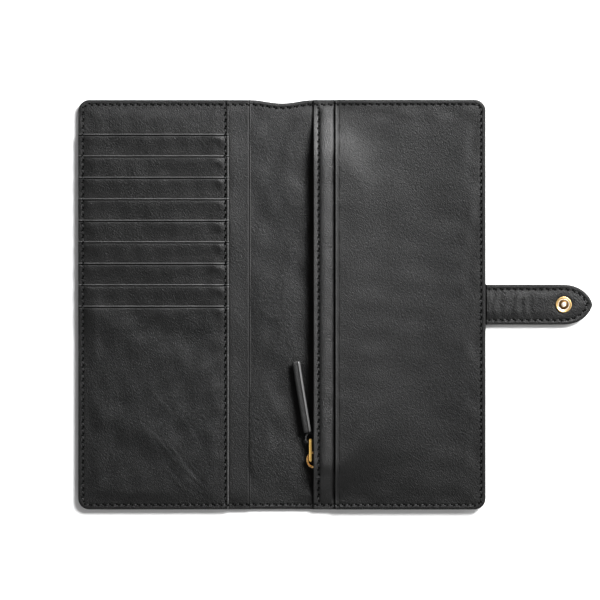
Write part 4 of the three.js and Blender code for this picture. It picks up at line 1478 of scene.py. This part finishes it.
def make_strap():
    """The strap's root and tip, each of two leathers sewn together."""
    shares = strap_shares()
    inner_start = FORE_EDGE + 0.15
    root_columns = stations(FORE_EDGE - 0.5, STRAP_JOIN, ROOT_STEP)
    inner_columns = stations(inner_start, STRAP_JOIN, ROOT_STEP, (inner_start, RIM_STEPS))
    round_point = np.sin(np.linspace(0, math.pi / 2, 44)[1:] * 0.985)
    tip_columns = np.concatenate([
        stations(STRAP_JOIN, STRAP_TAPER, TIP_STEP),
        STRAP_TAPER + (STRAP_END - STRAP_TAPER) * round_point,
    ])
    root_fold = {"start": (STRAP_ROOT_FOLD[0] * METRE, 0, 0), "end": (STRAP_ROOT_FOLD[1] * METRE, 0, 0)}
    tip_fold = {"start": (STRAP_TIP_FOLD[0] * METRE, 0, 0), "end": (STRAP_TIP_FOLD[1] * METRE, 0, 0)}
    for name, columns, top, under, bodies, fold, node in (
        ("strap_root_outer_leather", root_columns, root_outer_top, root_outer_under, ("back", "strap_root"),
         root_fold, "strap_base_outer"),
        ("strap_root_inner_leather", inner_columns, root_inner_top, root_inner_under, ("back", "strap_root"),
         root_fold, "strap_base_inner"),
        ("strap_tip_outer_leather", tip_columns, strap_middle, strap_under, ("strap_root", "strap_tip"),
         tip_fold, "strap_tip_outer"),
        ("strap_tip_inner_leather", tip_columns, strap_top, tip_inner_under, ("strap_root", "strap_tip"),
         tip_fold, "strap_tip_inner"),
    ):
        part = sheet(name, columns, shares, in_strap, top, under, STRAP_LEATHER)
        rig.blend(part, *bodies, **fold)
        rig.replaces(part, node)
        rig.slot(part, "strap_leather")
    root, tip = strap_stitch_places()
    seams = (
        (stitches("strap_root_stitches", root, strap_top), ("back", "strap_root"), root_fold,
         ("strap_base_thread_head", "strap_base_thread_foot")),
        (stitches("strap_tip_stitches", tip, strap_top), ("strap_root", "strap_tip"), tip_fold,
         ("strap_tip_thread",)),
        (stitches("strap_tip_outside_stitches", tip, strap_under, -1), ("strap_root", "strap_tip"), tip_fold,
         ()),
    )
    for seam, bodies, fold, nodes in seams:
        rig.blend(seam, *bodies, **fold)
        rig.slot(seam, "thread")
        if nodes:
            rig.replaces(seam, *nodes)


# ---- the snap, the zip and the pull --------------------------------------------------------------------


def turned(name, profile, centre, material, steps=64):
    """A round piece about a vertical axis, from (radius, z) points.

    The profile runs upwards: from the axis back to the axis, or all the way round a ring."""
    points, faces = [], []
    inner = [point for point in profile if point[0] > 0]
    for radius, z in inner:
        for step in range(steps):
            angle = 2 * math.pi * step / steps
            points.append((centre[0] + radius * math.cos(angle), centre[1] + radius * math.sin(angle), z))
    for ring in range(len(inner) - 1):
        for step in range(steps):
            a, b = ring * steps + step, ring * steps + (step + 1) % steps
            faces.append([a, b, b + steps, a + steps])
    if profile[0][0] == 0:
        points.append((centre[0], centre[1], profile[0][1]))
        faces += [[len(points) - 1, (step + 1) % steps, step] for step in range(steps)]
        last = (len(inner) - 1) * steps
        points.append((centre[0], centre[1], profile[-1][1]))
        faces += [[len(points) - 1, last + step, last + (step + 1) % steps] for step in range(steps)]
    else:
        last = (len(inner) - 1) * steps
        for step in range(steps):
            a, b = last + step, last + (step + 1) % steps
            faces.append([a, b, (step + 1) % steps, step])
    return make_mesh(name, points, faces, [material], sharp=38)


def arc(centre_r, centre_z, radius, first, last, count=7):
    """Profile points on an arc, angles in degrees from the outward direction."""
    return [
        (centre_r + radius * math.cos(math.radians(a)), centre_z + radius * math.sin(math.radians(a)))
        for a in np.linspace(first, last, count)
    ]


def make_snap():
    """The stud with its rim, ring, recess and ball, the cap behind it, and the socket in the cover."""
    base = low("snap_stud")[2]
    tall = high("snap_stud")[2]
    rim = [(0, base), (4.7, base), *arc(4.65, base + 0.42, 0.40, -60, 95), (4.1, base + 0.72),
           (3.75, base + 0.52), (3.55, base + 0.5), (3.55, base + 0.06), (0, base + 0.06)]
    ring = [(3.6, base + 0.08), (3.6, base + 0.55), *arc(3.42, base + 0.62, 0.17, 20, 160, 6),
            (3.2, base + 0.4), (3.1, base + 0.08)]
    recess = [(0, base + 0.02), (3.2, base + 0.02), (3.2, base + 0.12), (2.6, base + 0.13),
              (2.2, base + 0.22), (1.8, base + 0.5), (1.55, base + 0.8), (1.4, base + 1.0), (0, base + 1.0)]
    ball = [(0, base + 0.8), (1.25, base + 0.85), *arc(0, tall - 1.5, 1.5, -20, 82, 11), (0, tall)]
    stud_x = (STUD_X, 0)
    cap_low = low("snap_cap")[2]
    cap = [(0, cap_low), (2.5, cap_low + 0.06), (4.4, cap_low + 0.24), (5.6, cap_low + 0.52),
           *arc(5.7, cap_low + 0.78, 0.25, -60, 70, 5), (5.5, cap_low + 1.05), (1.3, cap_low + 1.05),
           (1.3, cap_low + 3.4), (0, cap_low + 3.4)]
    socket_x = (middle("snap_socket")[0], 0)
    socket = [(2.2, 0.30), (2.45, 0.12), (2.9, 0.14), (3.3, 0.30), (3.9, 0.30), (4.3, 0.14),
              *arc(4.7, 0.30, 0.24, -90, 0, 4), (4.95, 1.85), (2.2, 1.85)]
    pieces = (
        (turned("snap_stud_rim", rim, stud_x, GOLD), "strap_tip", "snap_stud"),
        # The ring here and the ball below are in pale gold, a painted highlight.
        (turned("snap_stud_ring", ring, stud_x, HIGHLIGHT_GOLD), "strap_tip", None),
        # The recess is in dark gold, painted shade.
        (turned("snap_stud_recess", recess, stud_x, SHADED_GOLD), "strap_tip", None),
        (turned("snap_stud_ball", ball, stud_x, HIGHLIGHT_GOLD), "strap_tip", None),
        (turned("snap_cap_gold", cap, stud_x, GOLD), "strap_tip", "snap_cap"),
        (turned("snap_socket_gold", socket, socket_x, GOLD), "front", "snap_socket"),
    )
    for piece, body, node in pieces:
        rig.ride(piece, body)
        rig.slot(piece, "gold_metal")
        if node:
            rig.replaces(piece, node)


BOX_FACES = ((1, 3, 2, 0), (6, 7, 5, 4), (4, 5, 1, 0), (3, 7, 6, 2), (2, 6, 4, 0), (5, 7, 3, 1))


def add_box(points, faces, centre, size):
    """A box of that size about its centre."""
    base = len(points)
    for cx in (-0.5, 0.5):
        for cy in (-0.5, 0.5):
            for cz in (-0.5, 0.5):
                points.append((centre[0] + cx * size[0], centre[1] + cy * size[1], centre[2] + cz * size[2]))
    faces += [[base + corner for corner in face] for face in BOX_FACES]


def bevelled(piece, width, segments=3):
    """Softens a piece's hard edges by that width in mm."""
    bevel = piece.modifiers.new("softened_edges", "BEVEL")
    bevel.width = width * METRE
    bevel.segments = segments
    bevel.limit_method = "ANGLE"
    bevel.angle_limit = math.radians(32)
    return piece


TOOTH_PITCH = 1.6
TOOTH_LENGTH = 0.66


def make_zip_teeth():
    """Two rows of metal teeth that mesh: each a head across the middle and a clamp on its tape."""
    plane, foot, head = middle("zip_teeth_upper")[0], low("zip_teeth_upper")[1], high("zip_teeth_upper")[1]
    centre = (low("zip_teeth_upper")[2] + high("zip_teeth_lower")[2]) / 2
    for name, reach, shift in (("upper", -1, 0.0), ("lower", 1, TOOTH_PITCH / 2)):
        points, faces = [], []
        y = foot + 0.8 + shift
        while y < head - 0.6:
            add_box(points, faces, (plane, y, centre - reach * 0.05), (1.45, TOOTH_LENGTH, 1.2))
            add_box(points, faces, (plane, y, centre - reach * 1.15), (1.6, TOOTH_LENGTH + 0.14, 1.1))
            y += TOOTH_PITCH
        teeth = bevelled(make_mesh(f"zip_teeth_{name}_gold", points, faces, [GOLD]), 0.12, 2)
        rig.ride(teeth, "back")
        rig.replaces(teeth, f"zip_teeth_{name}")
        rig.slot(teeth, "gold_metal")


def make_bridge():
    """The slider's bridge: a half ring with a groove worked along its crown."""
    corner, other = low("slider_bridge"), high("slider_bridge")
    centre_y, bottom, top = (corner[1] + other[1]) / 2, corner[2], other[2]
    reach_x, reach_y = other[0] - corner[0], (other[1] - corner[1]) / 2
    section = [
        (0.15, bottom), (0, bottom + 0.15), (0, top - 0.45), (0.10, top - 0.15), (0.34, top),
        (0.55, top - 0.2), (0.66, top - 0.6), (0.77, top - 0.2), (0.98, top - 0.05), (1.22, top - 0.2),
        (1.32, top - 0.5), (1.32, bottom + 0.15), (1.17, bottom),
    ]
    points, faces, count, turns = [], [], len(section), 40
    for angle in np.linspace(math.pi / 2, 1.5 * math.pi, turns + 1):
        for inset, z in section:
            x = other[0] + (reach_x - inset) * math.cos(angle)
            points.append((x, centre_y + (reach_y - inset) * math.sin(angle), z))
    for ring in range(turns):
        for side in range(count):
            a, b = ring * count + side, ring * count + (side + 1) % count
            faces.append([a, a + count, b + count, b])
    faces.append(list(range(count)))
    faces.append([turns * count + side for side in reversed(range(count))])
    bridge = make_mesh("slider_bridge_gold", points, faces, [GOLD], sharp=60)
    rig.ride(bridge, "slider")
    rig.replaces(bridge, "slider_bridge")
    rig.slot(bridge, "gold_metal")


CLOTH_STEP = 2.0
CLOTH_THICKNESS = 0.12


def make_pocket_cloth():
    """The thin cloth on the zip pocket's lower wall."""
    corner, other = low("zip_pocket_lining"), high("zip_pocket_lining")
    columns = stations(corner[0], other[0], CLOTH_STEP)
    rows = stations(corner[1], other[1], CLOTH_STEP)

    def level(x, y):
        return corner[2] + 0.03 + 0.05 * (1 + ripple(x, y, 24, 95)) * smooth((other[0] - x) / 8)

    def upper(x, y):
        return level(x, y) + CLOTH_THICKNESS

    cloth = sheet("zip_pocket_cloth", columns, rows, as_is, upper, level, LINING_CLOTH, LINING_CLOTH)
    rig.ride(cloth, "back")
    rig.replaces(cloth, "zip_pocket_lining")
    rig.slot(cloth, "lining_cloth")
    size = ((other[0] - corner[0]) * METRE, (other[1] - corner[1]) * METRE)
    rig.sheet(cloth, flat=size, held="laid", rests_on=["back_lining_leather"])


PULL_LENGTH = 45.15
PULL_WIDTH = 5.0
PULL_TILT = 0.1618


def make_leather_pull():
    """A strip folded double, its folded face on the left and its polished cut edges on the right, whose light colour
    is partly a painted highlight.
    """
    centre = middle("leather_pull")
    bottom, top = low("leather_pull")[2], high("leather_pull")[2]
    half = PULL_WIDTH / 2
    section = [
        (-half, bottom + 0.7), (-half + 0.2, bottom + 0.2), (-half + 0.7, bottom), (half - 0.6, bottom),
        (half - 0.15, bottom + 0.2), (half, bottom + 0.6), (half, top - 0.95), (half - 0.12, top - 0.6),
        (half - 0.3, top - 0.36), (half - 1.1, top - 0.06), (half - 1.25, top), (half - 1.4, top - 0.06),
        (half - 1.6, top - 0.3), (0.5, top - 0.36), (-0.9, top - 0.3), (-half + 0.75, top - 0.42),
        (-half + 0.25, top - 0.85), (-half, top - 1.6),
    ]
    lengths = [0, 0.12, 0.4, 0.9, *np.linspace(1.6, PULL_LENGTH - 1.6, 60), PULL_LENGTH - 0.9,
               PULL_LENGTH - 0.4, PULL_LENGTH - 0.12, PULL_LENGTH]
    points, faces, shades = [], [], []
    count = len(section)
    middle_z = (bottom + top) / 2
    for length in lengths:
        ends = min(length, PULL_LENGTH - length)
        pinch = 1 - 0.16 * (1 - min(ends / 0.9, 1)) ** 2
        bend = 0.12 * math.sin(length / PULL_LENGTH * math.pi)
        for across, z in section:
            u, v = across * pinch - bend, length - PULL_LENGTH / 2
            points.append((
                centre[0] + u * math.cos(PULL_TILT) - v * math.sin(PULL_TILT),
                centre[1] + u * math.sin(PULL_TILT) + v * math.cos(PULL_TILT),
                middle_z + (z - middle_z) * pinch,
            ))
    for ring in range(len(lengths) - 1):
        for side in range(count):
            a, b = ring * count + side, ring * count + (side + 1) % count
            faces.append([a, a + count, b + count, b])
            # Sides 5 to 9 are the cut edge in the lighter edge paint, partly a painted highlight.
            shades.append(1 if 5 <= side <= 9 else 0)
    faces.append(list(range(count)))
    faces.append([(len(lengths) - 1) * count + side for side in reversed(range(count))])
    pull = make_mesh("leather_pull_folded", points, faces, [PULL_LEATHER, PULL_EDGE_HIGHLIGHT], [*shades, 1, 1], 60)
    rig.ride(pull, "pull")
    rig.replaces(pull, "leather_pull")
    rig.slot(pull, "pull_leather")


def finish_cad_nodes():
    """The hard parts keep their CAD shape, with softened edges and their finish."""
    finishes = {
        "slider_face_plate": (GOLD, 0.28), "slider_back_plate": (GOLD, 0.25),
        "pull_tab": (TAB_GOLD, 0.6), "pull_loop": (PULL_LEATHER, 0.25), "zip_top_stop": (GOLD, 0.3),
        "zip_bottom_stop": (GOLD, 0.3), "snap_socket_washer": (GOLD, 0.1), "front_board": (BOARD, 0),
        "spine_board": (BOARD, 0), "back_board": (BOARD, 0), "strap_anchor": (STRAP_LEATHER, 0),
        "zip_tape_upper": (ZIP_TAPE, 0), "zip_tape_lower": (ZIP_TAPE, 0),
    }
    for name, (material, softness) in finishes.items():
        node = frame["nodes"][name]
        node.data.materials.clear()
        node.data.materials.append(material)
        if softness:
            bevelled(node, softness)


# ---- floor, lights and camera ---------------------------------------------------------------------------


FLOOR_REACH = 3000.0
FLOOR_LEVEL = -0.3


def make_floor():
    """A plain pale floor just under the wallet."""
    made = Recipe("pale_paper")
    fibres = made.noise(3.0, detail=3)
    material = made.finish(
        Base_Color=made.mix(fibres, grey(0.86), grey(0.88)), Roughness=0.9, Specular_IOR_Level=0.1
    )
    corners = [
        (x * FLOOR_REACH, y * FLOOR_REACH, FLOOR_LEVEL) for x, y in ((-1, -1), (1, -1), (1, 1), (-1, 1))
    ]
    floor = make_mesh("floor", corners, [[0, 1, 2, 3]], [material])
    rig.stage(floor)


def area_light(name, place, target, size, power):
    """A soft box at a place in metres, facing its target."""
    data = bpy.data.lights.new(name, "AREA")
    data.shape = "RECTANGLE"
    data.size, data.size_y = size
    data.energy = power
    lamp = bpy.data.objects.new(name, data)
    bpy.context.scene.collection.objects.link(lamp)
    lamp.location = place
    aim = np.array(target) - np.array(place)
    lamp.rotation_mode = "QUATERNION"
    lamp.rotation_quaternion = Vector(aim).to_track_quat("-Z", "Y")


# Lights, in metres and watts: one large soft box high on the strap's side and towards the head,
# and four low ones that fill in the sides.
WORLD_STRENGTH = 0.065
KEY_PLACE = (0.74, 0.80, 1.0)
KEY_TARGET = (0.0, 0.02, 0.0)
KEY_SIZE = (0.7, 0.7)
KEY_POWER = 56.0
LOW_DISTANCE = 1.25
LOW_HEIGHT = 0.50
LOW_SIZE = (1.1, 0.5)
LOW_LIGHTS = (("side", 0, 7.0), ("head", 90, 5.0), ("spine", 180, 2.0), ("foot", 270, 5.0))


def make_lights():
    world = bpy.data.worlds.new("studio")
    bpy.context.scene.world = world
    world.use_nodes = True
    backdrop = world.node_tree.nodes["Background"]
    backdrop.inputs["Color"].default_value = grey(1.0)
    backdrop.inputs["Strength"].default_value = WORLD_STRENGTH
    area_light("key", KEY_PLACE, KEY_TARGET, KEY_SIZE, KEY_POWER)
    for name, angle, power in LOW_LIGHTS:
        turn = math.radians(angle)
        place = (LOW_DISTANCE * math.cos(turn), LOW_DISTANCE * math.sin(turn), LOW_HEIGHT)
        area_light(f"low_{name}", place, (0, 0, 0), LOW_SIZE, power)


# The camera looks straight down; the wallet fills this share of the view, a little off its middle.
VIEW_FILL = 0.855
VIEW_OFFSET = (-0.0224, 0.0029)
CAMERA_HEIGHT = 1.7
SENSOR_WIDTH = 36


def make_camera():
    """A long lens above the wallet, square to it."""
    corner, other = cad_box
    width = (other.x - corner.x) / VIEW_FILL
    data = bpy.data.cameras.new("camera")
    data.sensor_width = SENSOR_WIDTH
    data.lens = data.sensor_width * CAMERA_HEIGHT / width
    camera = bpy.data.objects.new("camera", data)
    bpy.context.scene.collection.objects.link(camera)
    centre = (corner + other) / 2
    camera.location = (centre.x + VIEW_OFFSET[0], centre.y + VIEW_OFFSET[1], CAMERA_HEIGHT)
    bpy.context.scene.camera = camera


def set_colours():
    """Plain colours with a little contrast, as in a product picture."""
    view = bpy.context.scene.view_settings
    view.view_transform = "Standard"
    view.look = "Medium High Contrast"


make_camera()
make_floor()
make_lights()
set_colours()
make_covers()
long_top = make_long_pocket()
make_card_backing()
make_card_pockets()
make_passport_pocket()
make_back_pockets()
make_inside_stitches(front_surface(long_top))
make_strap()
make_snap()
make_zip_teeth()
make_bridge()
make_pocket_cloth()
make_leather_pull()
finish_cad_nodes()

visual_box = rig.bounds()
with open("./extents.json", "w") as size_file:
    boxes = {"cad": cad_box, "visual": visual_box}
    json.dump({name: [list(corner) for corner in box] for name, box in boxes.items()}, size_file)
